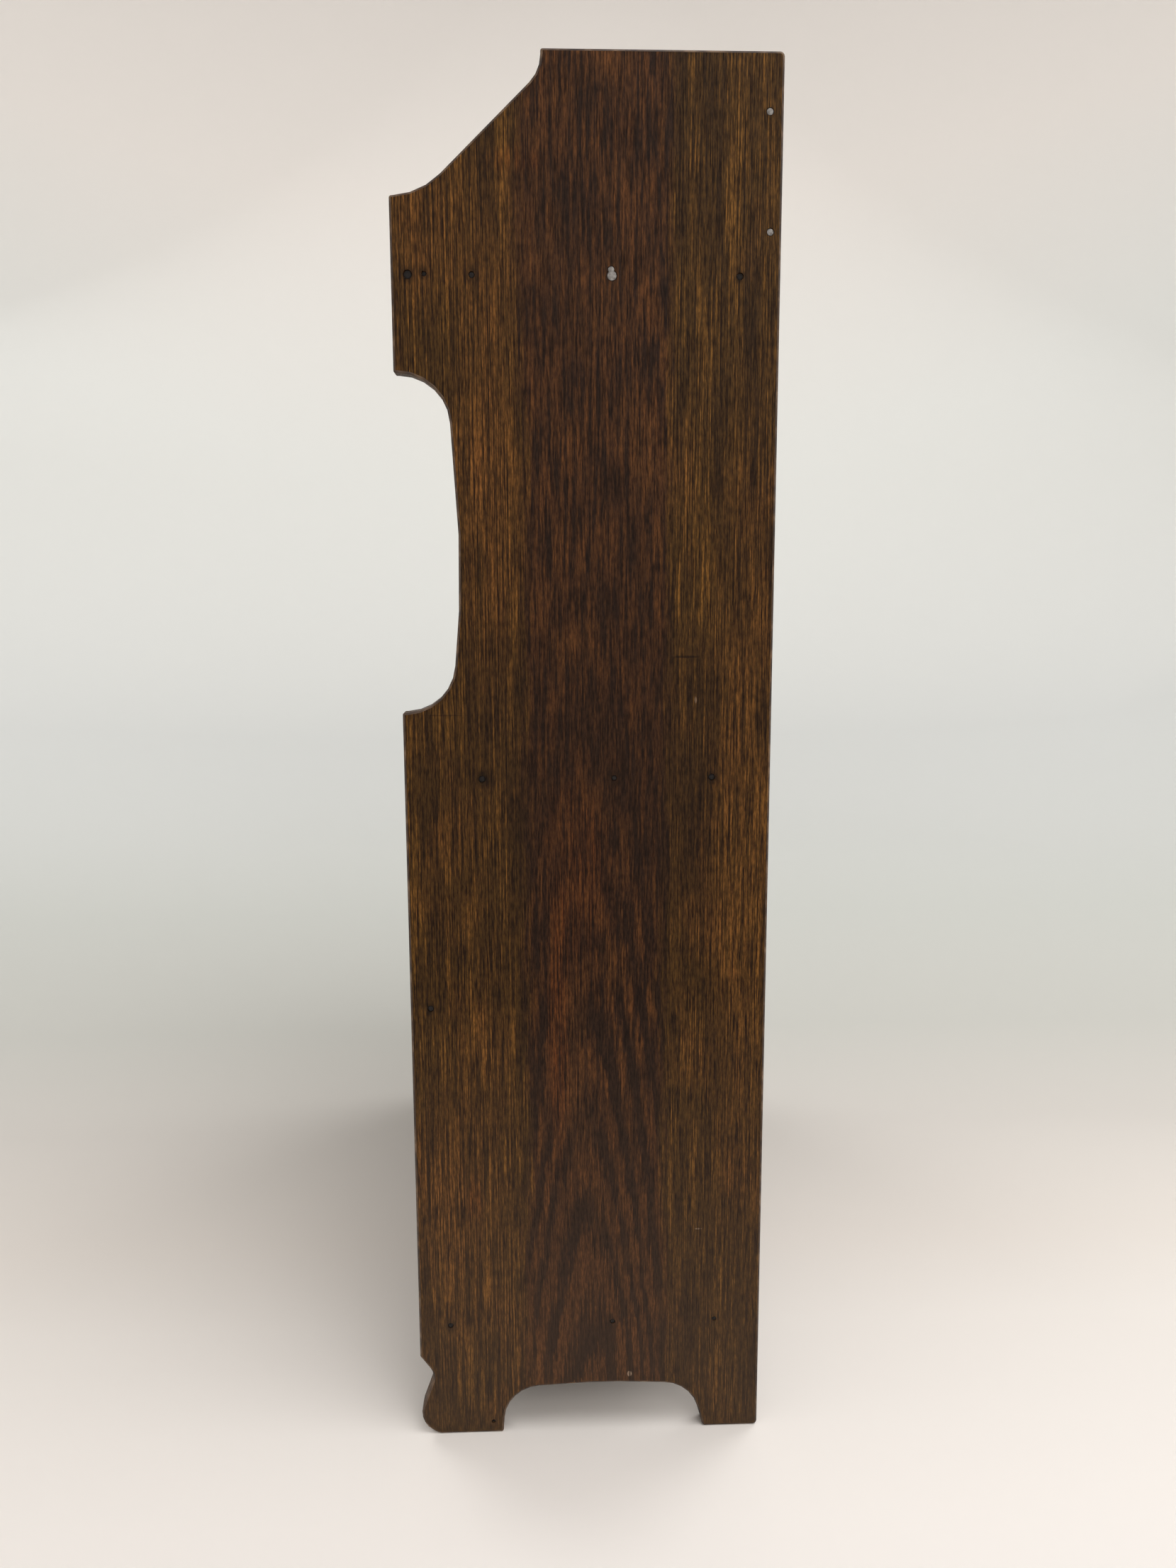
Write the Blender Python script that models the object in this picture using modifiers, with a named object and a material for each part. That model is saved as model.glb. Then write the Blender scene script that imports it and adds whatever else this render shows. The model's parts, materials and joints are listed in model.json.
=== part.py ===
# Oak-cased punch time clock: an oak case with shaped sides, a dial and
# card punch in its recess, a card rack on each side of them and two drawers below.
# Metres, +Z up. The front faces -Y and the floor is at z = 0.

import math

import bmesh
import bpy
from mathutils import Matrix, Vector

mm = 0.001

# Clearances
FIT = 0.3 * mm
RUN = 0.4 * mm

# Sides of the polygons that stand for circles
SMALL = 12
MEDIUM = 20
LARGE = 40

# Oak case
CASE_DEPTH = 240 * mm
SIDE_T = 14 * mm
SHELF_T = 16 * mm
BACK_T = 6 * mm
FOOT_H = 76 * mm
LOWER_BAY = 217 * mm
DIVIDER_H = 16 * mm
UPPER_BAY = 140.3 * mm
HEAD_H = 121 * mm
PARTITION_T = 12 * mm
RACK_BAY = 129 * mm
PANEL_HALF = 150 * mm
BOARD_SETBACK = 2 * mm
RECORDER_SETBACK = 24 * mm
DIVIDER_DEPTH = 24 * mm
PLINTH_H = 36 * mm
PLINTH_SETBACK = 24 * mm
GALLERY_RAIL_T = 16 * mm
GALLERY_RAIL_DROP = 18.7 * mm

# Shaped edge of the sides, measured back from the front edge
LIP_SETBACK = 92.5 * mm
LIP_DROP = 12.4 * mm
SHOULDER_DROP = 82.3 * mm
SHOULDER_FALL = 1.1 * mm
SCOOP_TOE = 19 * mm
SCOOP_TOP_R = 22 * mm
SCOOP_TOE_R = 46 * mm
NOTCH_TOP_DROP = 49.9 * mm
NOTCH_BOTTOM_RISE = 36.9 * mm
NOTCH_TOP_DEPTH = 32.5 * mm
NOTCH_DEPTH = 39.6 * mm
NOTCH_BOTTOM_DEPTH = 32 * mm
NOTCH_FALL = 1.4 * mm
NOTCH_R = 33 * mm
NOTCH_BACK_R = 330 * mm
NOTCH_MIDDLE = 5 / 12
OGEE_H = 60.5 * mm
OGEE_COVE = 10.3 * mm
OGEE_COVE_Z = 46.4 * mm
OGEE_COVE_R = 11 * mm
OGEE_BELLY = 3.3 * mm
OGEE_BELLY_Z = 9 * mm
OGEE_BELLY_R = 16 * mm
TOE_SETBACK = 12.5 * mm
TOE_R = 6.3 * mm
FRONT_FOOT = 45.5 * mm
REAR_FOOT = 39 * mm
ARCH_H = 34 * mm
ARCH_CROWN = 3 * mm
ARCH_LEAN_FRONT = 2.6 * mm
ARCH_LEAN_REAR = 9.3 * mm
ARCH_R = 26 * mm
ARCH_TOP_R = 230 * mm
EDGE_R = 3 * mm
EDGE_SHARE = 0.97

# Drawers
DRAWER_SETBACK = 13 * mm
DRAWER_FRONT_T = 18 * mm
DRAWER_WALL = 10 * mm
DRAWER_FLOOR_T = 6 * mm
DRAWER_GAP = 1.5 * mm
DRAWER_BACK_GAP = 3 * mm
DRAWER_SIDE_DROP = 14 * mm
RUNNER_W = 16 * mm
RUNNER_H = 14 * mm
KNOB_R = 12 * mm
KNOB_L = 12 * mm
KNOB_SPREAD = 160 * mm
KNOB_SHAPE = ((0, 0), (0.6, 0), (0.45, 0.4), (1, 0.7), (0.7, 1), (0, 1))

# Time gears: minute arbor, two idlers, type arbor
MODULE = 2 * mm
DRIVE_TEETH = 18
IDLER_TEETH = 30
GEAR_T = 3 * mm
GEAR_ROOT = 1.15
GEAR_TIP = 0.85
TOOTH_ROOT = 0.30
TOOTH_TIP = 0.13
SPUR_TIP = 0.18
TYPE_RISE = 34.7 * mm

# Going train
BARREL_MODULE = 1.2 * mm
BARREL_TEETH = 48
CENTRE_PINION_TEETH = 12
CENTRE_MODULE = 1 * mm
CENTRE_TEETH = 48
ESCAPE_PINION_TEETH = 12
BARREL_ANGLE = math.radians(225)
BARREL_R = 25 * mm
BARREL_L = 17 * mm
DRUM_GAP = 3 * mm
WHEEL_GAP = 3 * mm
ESCAPE_GAP = 9 * mm
ESCAPE_R = 16 * mm
ESCAPE_TEETH = 20
ESCAPE_TOOTH = 3 * mm
ANCHOR_RISE = 27 * mm
ANCHOR_SPREAD = 14 * mm
ANCHOR_DROP = 11.5 * mm
ANCHOR_BAR = 3 * mm
ARBOR_R = 2 * mm
WINDING_R = 3 * mm
WINDING_END = 1 * mm
KEY_HOLE_R = 5 * mm
PENDULUM_L = 108 * mm
BOB_R = 16 * mm
BOB_T = 8 * mm
ROD_W = 5 * mm
ROD_T = 2 * mm
ROD_CORNER = 2.4 * mm

# Dial and hands
DIAL_T = 1.5 * mm
BEZEL_R = 98 * mm
BEZEL_BAND = 15 * mm
BEZEL_DEPTH = 12.5 * mm
BEZEL_LIP = 2.5 * mm
DIAL_LAP = 5 * mm
DIAL_LEDGE = 11 * mm
GLASS_LAP = 3 * mm
GLASS_T = 2 * mm
DIAL_MARGIN = 8 * mm
HAND_T = 1.2 * mm
HAND_GAP = 1.4 * mm
MINUTE_HAND_SHORT = 9 * mm
HOUR_HAND_SHORT = 31 * mm
HAND_W = 7 * mm
HAND_WAIST = 1.4 * mm
SPADE_SHARE = 0.72
HUB_R = 7 * mm
HUB_STEPS = 10
NUT_R = 4 * mm
PIPE_WALL = 1.4 * mm
HOUR_WHEEL_TEETH = 24
HOUR_WHEEL_T = 2 * mm
HINGE_R = 3 * mm
HINGE_PIN_R = 1.3 * mm
HINGE_L = 36 * mm
HINGE_LEAF = 20 * mm
HINGE_LEAF_T = 1.2 * mm

# Clock panel and movement plates, measured back from the front edge
PANEL_SETBACK = 78 * mm
PANEL_T = 12 * mm
PLATE_GAP = 10 * mm
PLATE_T = 3 * mm
PLATE_SPAN = 37 * mm
PLATE_HALF = 62 * mm
PLATE_TOP = 73 * mm
PLATE_BOTTOM = 70 * mm
BACK_PLATE_HALF = 88 * mm
POST_R = 4 * mm
POST_X = 55 * mm
POST_RISE = 63 * mm
GEAR_SETBACK = 2.5 * mm

# Card punch
TYPE_R = 20 * mm
TYPE_W = 10 * mm
TYPE_ARBOR_R = 2.5 * mm
TYPE_RIDGES = (20, 16)
RIDGE_H = 1 * mm
TYPE_GAP = 1 * mm
BRIDGE_HALF = 28 * mm
BRIDGE_RISE = 12 * mm
BRIDGE_LEAD = 1 * mm
RIBBON_T = 0.5 * mm
RIBBON_W = 20 * mm
RIBBON_MARGIN = 1 * mm
RIBBON_FLAT = 7 * mm
SPOOL_X = 68 * mm
SPOOL_R = 16 * mm
SPOOL_CORE = 11 * mm
SPOOL_FLANGE = 1.5 * mm
STUD_R = 3 * mm
STUD_END = 0.5 * mm
SLOT_HALF = 48 * mm
SLOT_H = 9 * mm
THROAT_HALF = 58 * mm
THROAT_H = 38 * mm
THROAT_T = 2 * mm
GUIDE_T = 1.5 * mm
GUIDE_REACH = 16 * mm
ROCKER_SETBACK = 25 * mm
ROCKER_RISE = 44 * mm
ROCKER_R = 3 * mm
BRACKET_T = 4 * mm
BRACKET_HALF = 10 * mm
BRACKET_FOOT = 15 * mm
YOKE_X = 42 * mm
YOKE_W = 6 * mm
HUB_WALL = 4 * mm
HUB_OVERHANG = 1 * mm
HUB_ARC = math.radians(140)
WINDOW_DROP = 20 * mm
WINDOW_RISE = 8 * mm
PLATEN_T = 3 * mm
PLATEN_HALF = 13 * mm
STRIKE = 7 * mm
LEVER_X = 94 * mm
LEVER_T = 6 * mm
LEVER_HALF = 4 * mm
LEVER_REACH = 33 * mm
LEVER_KNOB_R = 9 * mm
LEVER_KNOB_L = 17 * mm
LEVER_KNOB_SHAPE = ((0, 0), (0.55, 0), (1, 0.45), (0.8, 0.85), (0, 1))
LEVER_SLOT = 5 * mm
LEVER_DROP = 22 * mm
LEVER_RISE = 8 * mm
HAMMER_H = 8 * mm
SPRING_WIRE = 0.7 * mm
SPRING_TURNS = 5
SPRING_SIDES = 8

# Card racks
RACK_HALF = 56 * mm
RACK_CHEEK = 4 * mm
POCKETS = 7
POCKET_RISE = 34 * mm
POCKET_STEP = 10 * mm
POCKET_H = 42 * mm
POCKET_T = 1.5 * mm
RACK_SETBACK = 60 * mm

# Levels, from the floor up
bottom_top = FOOT_H + SHELF_T
divider_z = bottom_top + LOWER_BAY
divider_top = divider_z + DIVIDER_H
recorder_z = divider_top + UPPER_BAY
recorder_top = recorder_z + SHELF_T
drive_r = MODULE * DRIVE_TEETH / 2
idler_r = MODULE * IDLER_TEETH / 2
type_z = recorder_top + TYPE_RISE
lower_idler_z = type_z + drive_r + idler_r
upper_idler_z = lower_idler_z + 2 * idler_r
dial_z = upper_idler_z + idler_r + drive_r
gallery_z = dial_z + BEZEL_R + DIAL_MARGIN
gallery_top = gallery_z + SHELF_T
case_height = gallery_top + HEAD_H
inner_half = PANEL_HALF + PARTITION_T + RACK_BAY
case_half = inner_half + SIDE_T
rocker_z = type_z + ROCKER_RISE
card_z = type_z + TYPE_R + FIT + RIBBON_T
barrel_distance = BARREL_MODULE * (BARREL_TEETH + CENTRE_PINION_TEETH) / 2
barrel_x = barrel_distance * math.cos(BARREL_ANGLE)
barrel_z = dial_z + barrel_distance * math.sin(BARREL_ANGLE)
bezel_bore = BEZEL_R - BEZEL_BAND
dial_r = bezel_bore + DIAL_LAP


def depth(setback):
    # World y of a place measured back from the case's front edge.
    return setback - CASE_DEPTH / 2


# Places along y
panel_y = depth(PANEL_SETBACK)
panel_back = panel_y + PANEL_T
dial_front = panel_y - FIT - DIAL_T
bezel_back = dial_front - FIT
bezel_front = bezel_back - BEZEL_DEPTH
hour_hand_y = dial_front - HAND_GAP - HAND_T
minute_hand_y = hour_hand_y - HAND_GAP - HAND_T
plate_y = panel_back + PLATE_GAP
plate_back = plate_y + PLATE_T
rear_plate_y = plate_back + PLATE_SPAN
rear_plate_back = rear_plate_y + PLATE_T
gear_y = rear_plate_back + GEAR_SETBACK
gear_back = gear_y + GEAR_T
rod_y = gear_back + GEAR_T
rocker_y = rear_plate_back + ROCKER_SETBACK
type_y = plate_back + TYPE_GAP
hour_type_y = type_y + TYPE_W + TYPE_GAP
back_y = CASE_DEPTH / 2 - GALLERY_RAIL_T + FIT

parts = bpy.data.collections.new("punch_time_clock")
cutters = bpy.data.collections.new("cutters")
finishes = {}


def clear_scene():
    for thing in list(bpy.data.objects):
        bpy.data.objects.remove(thing)
    bpy.context.scene.collection.children.link(parts)
    bpy.context.scene.collection.children.link(cutters)


def add_finish(name, colour, roughness, metallic):
    finish = bpy.data.materials.new(name)
    finish.use_nodes = True
    shader = finish.node_tree.nodes["Principled BSDF"]
    shader.inputs["Base Color"].default_value = (*colour, 1)
    shader.inputs["Roughness"].default_value = roughness
    shader.inputs["Metallic"].default_value = metallic
    finishes[name] = finish


def add_object(name, mesh, finish, place=None):
    mesh.shade_smooth()
    mesh.set_sharp_from_angle(angle=math.radians(35))
    mesh.materials.clear()
    mesh.materials.append(finishes[finish])
    thing = bpy.data.objects.new(name, mesh)
    if place is not None:
        thing.matrix_world = place
    parts.objects.link(thing)
    return thing


def mesh_from(name, bm):
    bmesh.ops.recalc_face_normals(bm, faces=bm.faces)
    mesh = bpy.data.meshes.new(name)
    bm.to_mesh(mesh)
    bm.free()
    return mesh


# Matrices that lay a flat outline (u, v) square to an axis:
# u, v are y, z on X; x, z on Y; x, y on Z.
FLAT = {
    "X": Matrix(((0, 0, 1), (1, 0, 0), (0, 1, 0))).to_4x4(),
    "Y": Matrix(((1, 0, 0), (0, 0, -1), (0, 1, 0))).to_4x4(),
    "Z": Matrix.Identity(4),
}
LINE = {"X": Vector((1, 0, 0)), "Y": Vector((0, 1, 0)), "Z": Vector((0, 0, 1))}


def board(name, low, high, finish):
    # Box between two corners.
    low, high = Vector(low), Vector(high)
    bm = bmesh.new()
    bmesh.ops.create_cube(bm, size=1)
    bmesh.ops.scale(bm, vec=high - low, verts=bm.verts)
    return add_object(name, mesh_from(name, bm), finish, Matrix.Translation((low + high) / 2))


def plate(name, axis, outer, holes, low, high, finish):
    # Flat outline with holes, from low to high along an axis.
    curve = bpy.data.curves.new(name, "CURVE")
    curve.dimensions = "2D"
    curve.fill_mode = "BOTH"
    curve.extrude = (high - low) / 2
    for loop in [outer, *holes]:
        spline = curve.splines.new("POLY")
        spline.points.add(len(loop) - 1)
        for point, (u, v) in zip(spline.points, loop):
            point.co = (u, v, 0, 1)
        spline.use_cyclic_u = True
    drawn = bpy.data.objects.new(name, curve)
    parts.objects.link(drawn)
    mesh = bpy.data.meshes.new_from_object(drawn.evaluated_get(bpy.context.evaluated_depsgraph_get()))
    bpy.data.objects.remove(drawn)
    bm = bmesh.new()
    bm.from_mesh(mesh)
    bmesh.ops.remove_doubles(bm, verts=bm.verts, dist=1e-6)
    place = Matrix.Translation(LINE[axis] * (low + high) / 2) @ FLAT[axis]
    return add_object(name, mesh_from(name, bm), finish, place)


def turned(name, profile, centre, finish, steps=MEDIUM):
    # Closed profile of (radius, y) turned about a line along Y through centre (x, z).
    bm = bmesh.new()
    ring = [bm.verts.new((radius, 0, y)) for radius, y in profile]
    for first, second in zip(ring, ring[1:] + ring[:1]):
        if first.co.x + second.co.x > 0:
            bm.edges.new((first, second))
    mesh = bpy.data.meshes.new(name)
    bm.to_mesh(mesh)
    bm.free()
    drawn = bpy.data.objects.new(name, mesh)
    parts.objects.link(drawn)
    screw = drawn.modifiers.new("Turn", "SCREW")
    screw.axis = "Z"
    screw.steps = steps
    screw.render_steps = steps
    screw.use_merge_vertices = True
    screw.merge_threshold = 1e-5
    solid = bpy.data.meshes.new_from_object(drawn.evaluated_get(bpy.context.evaluated_depsgraph_get()))
    bpy.data.objects.remove(drawn)
    bm = bmesh.new()
    bm.from_mesh(solid)
    bmesh.ops.remove_doubles(bm, verts=bm.verts, dist=1e-6)
    upright = Matrix(((1, 0, 0), (0, 0, 1), (0, -1, 0))).to_4x4()
    place = Matrix.Translation((centre[0], 0, centre[1])) @ upright
    return add_object(name, mesh_from(name, bm), finish, place)


def rod(name, axis, centre, radius, low, high, finish, sides=SMALL):
    # Round bar along an axis; centre gives the two other coordinates, as (u, v).
    return plate(name, axis, circle(*centre, radius, sides), [], low, high, finish)


def circle(u, v, radius, sides=SMALL):
    turn = math.tau / sides
    return [
        (u + radius * math.cos(k * turn), v + radius * math.sin(k * turn)) for k in range(sides)
    ]


def rectangle(low_u, low_v, high_u, high_v):
    return [(low_u, low_v), (high_u, low_v), (high_u, high_v), (low_u, high_v)]


def rounded(corners, step=math.radians(15)):
    # Outline through corners (u, v, radius), each rounded as far as the edges beside it allow.
    count = len(corners)
    places = [Vector(corner[:2]) for corner in corners]
    halves = []
    reaches = []
    for index, here in enumerate(places):
        ahead = places[(index + 1) % count] - here
        half = (places[index - 1] - here).angle(ahead) / 2
        halves.append(half)
        reaches.append(corners[index][2] / math.tan(half))
    fits = list(reaches)
    for index, here in enumerate(places):
        other = (index + 1) % count
        wanted = reaches[index] + reaches[other]
        room = EDGE_SHARE * (places[other] - here).length
        if wanted > room:
            fits[index] = min(fits[index], reaches[index] * room / wanted)
            fits[other] = min(fits[other], reaches[other] * room / wanted)
    points = []
    for index, here in enumerate(places):
        half = halves[index]
        reach = fits[index]
        if reach == 0:
            points.append(tuple(here))
            continue
        back = (places[index - 1] - here).normalized()
        ahead = (places[(index + 1) % count] - here).normalized()
        middle = here + (back + ahead).normalized() * reach / math.cos(half)
        spoke = here + back * reach - middle
        sign = 1 if spoke.cross(here + ahead * reach - middle) > 0 else -1
        turn = math.pi - 2 * half
        steps = max(1, round(turn / step))
        for k in range(steps + 1):
            angle = sign * turn * k / steps
            cosine, sine = math.cos(angle), math.sin(angle)
            points.append((
                middle.x + spoke.x * cosine - spoke.y * sine,
                middle.y + spoke.x * sine + spoke.y * cosine,
            ))
    return points


def gear(teeth, module, phase, u, v):
    # Straight-flanked teeth, thin enough to run with backlash.
    root = module * (teeth / 2 - GEAR_ROOT)
    tip = module * (teeth / 2 + GEAR_TIP)
    pitch = math.tau / teeth
    points = []
    for k in range(teeth):
        flanks = ((root, -TOOTH_ROOT), (tip, -TOOTH_TIP), (tip, TOOTH_TIP), (root, TOOTH_ROOT))
        for radius, offset in flanks:
            angle = phase + (k + offset) * pitch
            points.append((u + radius * math.cos(angle), v + radius * math.sin(angle)))
    return points


def meshed(teeth, phase, direction, other_teeth):
    # Phase of a wheel whose gap meets the tooth of its driver along a direction.
    share = ((direction - phase) / (math.tau / teeth)) % 1
    return direction + math.pi + (share + 0.5) * math.tau / other_teeth


def spur(teeth, radius, height, u, v):
    # Pointed teeth, as on an escape wheel or a type wheel's ridges.
    points = []
    for k in range(teeth):
        for share, reach in ((-0.5, radius - height), (-SPUR_TIP, radius), (SPUR_TIP, radius)):
            angle = (k + share) * math.tau / teeth
            points.append((u + reach * math.cos(angle), v + reach * math.sin(angle)))
    return points


def group(name, pieces, finish):
    # Several helper solids as one object.
    bm = bmesh.new()
    for piece in pieces:
        copy = piece.data.copy()
        copy.transform(piece.matrix_world)
        bm.from_mesh(copy)
        bpy.data.meshes.remove(copy)
        bpy.data.objects.remove(piece)
    return add_object(name, mesh_from(name, bm), finish)


def combine(target, other, operation):
    # Boolean with a hidden helper.
    parts.objects.unlink(other)
    cutters.objects.link(other)
    other.hide_render = True
    other.display_type = "WIRE"
    change = target.modifiers.new(operation.title(), "BOOLEAN")
    change.operation = operation
    change.object = other
    return target


def pivot(name, location, pieces):
    # Empty on a joint's axis that carries the pieces that move with it.
    empty = bpy.data.objects.new(name, None)
    empty.location = location
    parts.objects.link(empty)
    hold = Matrix.Translation(location).inverted()
    for piece in pieces:
        piece.parent = empty
        piece.matrix_parent_inverse = hold
    return empty


def side_outline():
    front = depth(0)
    rear = depth(CASE_DEPTH)
    notch_top = gallery_z - NOTCH_TOP_DROP
    notch_bottom = recorder_top + NOTCH_BOTTOM_RISE
    notch_middle = notch_bottom + NOTCH_MIDDLE * (notch_top - notch_bottom)
    arch_front = front + TOE_SETBACK + FRONT_FOOT
    arch_rear = rear - REAR_FOOT
    shoulder = case_height - SHOULDER_DROP
    crown = ARCH_H + ARCH_CROWN
    return rounded([
        (rear, 0, EDGE_R),
        (rear, case_height, EDGE_R),
        (front + LIP_SETBACK, case_height, 0),
        (front + LIP_SETBACK, case_height - LIP_DROP, SCOOP_TOP_R),
        (front + SCOOP_TOE, shoulder, SCOOP_TOE_R),
        (front, shoulder - SHOULDER_FALL, EDGE_R / 2),
        (front, notch_top, EDGE_R / 2),
        (front + NOTCH_TOP_DEPTH, notch_top, NOTCH_R),
        (front + NOTCH_DEPTH, notch_middle, NOTCH_BACK_R),
        (front + NOTCH_BOTTOM_DEPTH, notch_bottom, NOTCH_R),
        (front, notch_bottom - NOTCH_FALL, EDGE_R / 2),
        (front, OGEE_H, EDGE_R / 2),
        (front + OGEE_COVE, OGEE_COVE_Z, OGEE_COVE_R),
        (front - OGEE_BELLY, OGEE_BELLY_Z, OGEE_BELLY_R),
        (front + TOE_SETBACK, 0, TOE_R),
        (arch_front, 0, 0),
        (arch_front + ARCH_LEAN_FRONT, ARCH_H, ARCH_R),
        ((arch_front + arch_rear) / 2, crown, ARCH_TOP_R),
        (arch_rear - ARCH_LEAN_REAR, ARCH_H, ARCH_R),
        (arch_rear, 0, 0),
    ])


def build_case():
    reach = inner_half - FIT
    outline = side_outline()
    plate("side_panel_right", "X", outline, [], inner_half, case_half, "oak")
    plate("side_panel_left", "X", outline, [], -case_half, -inner_half, "oak")
    back_edge = back_y - FIT
    rear = depth(CASE_DEPTH)
    boards = {
        "gallery_shelf": ((-reach, depth(BOARD_SETBACK), gallery_z), (reach, rear, gallery_top)),
        "recorder_shelf": (
            (-reach, depth(RECORDER_SETBACK), recorder_z), (reach, back_edge, recorder_top)),
        "bottom_board": ((-reach, depth(BOARD_SETBACK), FOOT_H), (reach, back_edge, bottom_top)),
        "divider_rail": (
            (-reach, depth(BOARD_SETBACK), divider_z),
            (reach, depth(BOARD_SETBACK) + DIVIDER_DEPTH, divider_top)),
        "gallery_back_rail": (
            (-reach, rear - GALLERY_RAIL_T, gallery_top + FIT),
            (reach, rear, case_height - GALLERY_RAIL_DROP)),
    }
    for name, (low, high) in boards.items():
        board(name, low, high, "oak")
    board("back_panel", (-reach, back_y, FOOT_H), (reach, back_y + BACK_T, gallery_z - FIT), "oak")
    plinth_y = depth(PLINTH_SETBACK)
    board(
        "plinth_rail", (-reach, plinth_y, FOOT_H - FIT - PLINTH_H),
        (reach, plinth_y + SHELF_T, FOOT_H - FIT), "oak")
    low, high = recorder_top + FIT, gallery_z - FIT
    for side, sign in (("right", 1), ("left", -1)):
        faces = sorted((sign * PANEL_HALF, sign * (PANEL_HALF + PARTITION_T)))
        board(
            "partition_" + side, (faces[0], panel_y, low), (faces[1], back_edge, high), "oak")
    runner_front = depth(BOARD_SETBACK) + DIVIDER_DEPTH + FIT
    for side, sign in (("right", 1), ("left", -1)):
        ends = sorted((sign * (reach - RUNNER_W), sign * reach))
        board(
            "drawer_runner_" + side, (ends[0], runner_front, divider_top - RUNNER_H),
            (ends[1], back_edge, divider_top), "oak")


def build_clock_panel():
    # Oak board with the dial aperture, the card slot and the lever slot.
    slot_low = card_z - GUIDE_T - FIT
    lever_low = rocker_z - LEVER_DROP
    plate(
        "clock_panel", "Y",
        rectangle(-PANEL_HALF + FIT, recorder_top + FIT, PANEL_HALF - FIT, gallery_z - FIT),
        [
            circle(0, dial_z, dial_r - DIAL_LEDGE, LARGE),
            rectangle(-SLOT_HALF, slot_low, SLOT_HALF, slot_low + SLOT_H),
            rectangle(
                LEVER_X - LEVER_SLOT, lever_low, LEVER_X + LEVER_SLOT, rocker_z + LEVER_RISE),
        ],
        panel_y, panel_back, "oak")
    throat = plate(
        "card_throat", "Y",
        rounded([
            (u, v, EDGE_R)
            for u, v in rectangle(
                -THROAT_HALF, card_z - THROAT_H / 2, THROAT_HALF, card_z + THROAT_H / 2)
        ]),
        [rectangle(-SLOT_HALF, card_z - GUIDE_T / 2, SLOT_HALF, slot_low + SLOT_H)],
        panel_y - FIT - THROAT_T, panel_y - FIT, "brass")
    guide = board(
        "guide", (-SLOT_HALF + FIT, panel_y - GUIDE_REACH, slot_low + FIT),
        (SLOT_HALF - FIT, type_y - FIT, card_z), "brass")
    combine(throat, guide, "UNION")


def build_dial():
    centre = (0, dial_z)
    plate(
        "dial_plate", "Y", circle(*centre, dial_r, LARGE),
        [circle(*centre, HUB_R), circle(barrel_x, barrel_z, KEY_HOLE_R)],
        dial_front, dial_front + DIAL_T, "enamel")
    glass_r = bezel_bore + GLASS_LAP
    lip_y = bezel_front + BEZEL_LIP
    ring = turned("dial_bezel", [
        (bezel_bore, lip_y),
        (bezel_bore, bezel_front),
        (BEZEL_R - EDGE_R, bezel_front),
        (BEZEL_R, bezel_front + EDGE_R),
        (BEZEL_R, bezel_back),
        (glass_r + FIT, bezel_back),
        (glass_r + FIT, lip_y),
    ], centre, "brass", LARGE)
    glass = plate(
        "dial_glass", "Y", circle(*centre, glass_r, LARGE), [],
        lip_y + FIT, lip_y + FIT + GLASS_T, "glass")
    # Hinge on the left of the bezel: the middle knuckle turns on the pin of the leaf.
    axis_x = -BEZEL_R - HINGE_R - FIT
    axis_y = bezel_back - HINGE_R / 2
    knuckle = HINGE_L / 3
    low = dial_z - HINGE_L / 2
    tab = board(
        "tab", (axis_x + HINGE_PIN_R + 2 * FIT, axis_y - HINGE_R, low + knuckle + FIT),
        (-BEZEL_R + BEZEL_BAND / 2, axis_y, low + 2 * knuckle - FIT), "brass")
    eye = plate(
        "eye", "Z", circle(axis_x, axis_y, HINGE_R),
        [circle(axis_x, axis_y, HINGE_PIN_R + FIT)],
        low + knuckle + FIT, low + 2 * knuckle - FIT, "brass")
    combine(ring, tab, "UNION")
    combine(ring, eye, "UNION")
    leaf = board(
        "bezel_hinge", (axis_x - HINGE_LEAF, panel_y - FIT - HINGE_LEAF_T, low),
        (axis_x - HINGE_R - FIT, panel_y - FIT, low + HINGE_L), "brass")
    for start in (low, low + 2 * knuckle):
        ear = board(
            "ear", (axis_x - HINGE_R - 2 * FIT, axis_y - HINGE_PIN_R, start),
            (axis_x, panel_y - FIT, start + knuckle), "brass")
        combine(leaf, ear, "UNION")
        barrel = rod("knuckle", "Z", (axis_x, axis_y), HINGE_R, start, start + knuckle, "brass")
        combine(leaf, barrel, "UNION")
    pin = rod(
        "pin", "Z", (axis_x, axis_y), HINGE_PIN_R, low + knuckle / 2, low + HINGE_L - knuckle / 2,
        "brass")
    combine(leaf, pin, "UNION")
    pivot("bezel_axis", (axis_x, axis_y, dial_z), [ring, glass])


def hand(name, length, bore, y, finish):
    # Spade hand that points up at rest.
    tip = dial_z + length
    spade = dial_z + length * SPADE_SHARE
    start = math.pi - math.acos(HAND_WAIST / HUB_R)
    sweep = math.tau - 2 * (start - math.pi / 2)
    boss = [
        (
            HUB_R * math.cos(start + sweep * k / HUB_STEPS),
            dial_z + HUB_R * math.sin(start + sweep * k / HUB_STEPS),
        )
        for k in range(HUB_STEPS + 1)
    ]
    blade = [
        (HAND_WAIST, spade - HAND_W),
        (HAND_W, spade),
        (HAND_WAIST / 2, tip),
        (-HAND_WAIST / 2, tip),
        (-HAND_W, spade),
        (-HAND_WAIST, spade - HAND_W),
    ]
    return plate(name, "Y", boss + blade, [circle(0, dial_z, bore)], y, y + HAND_T, finish)


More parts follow.
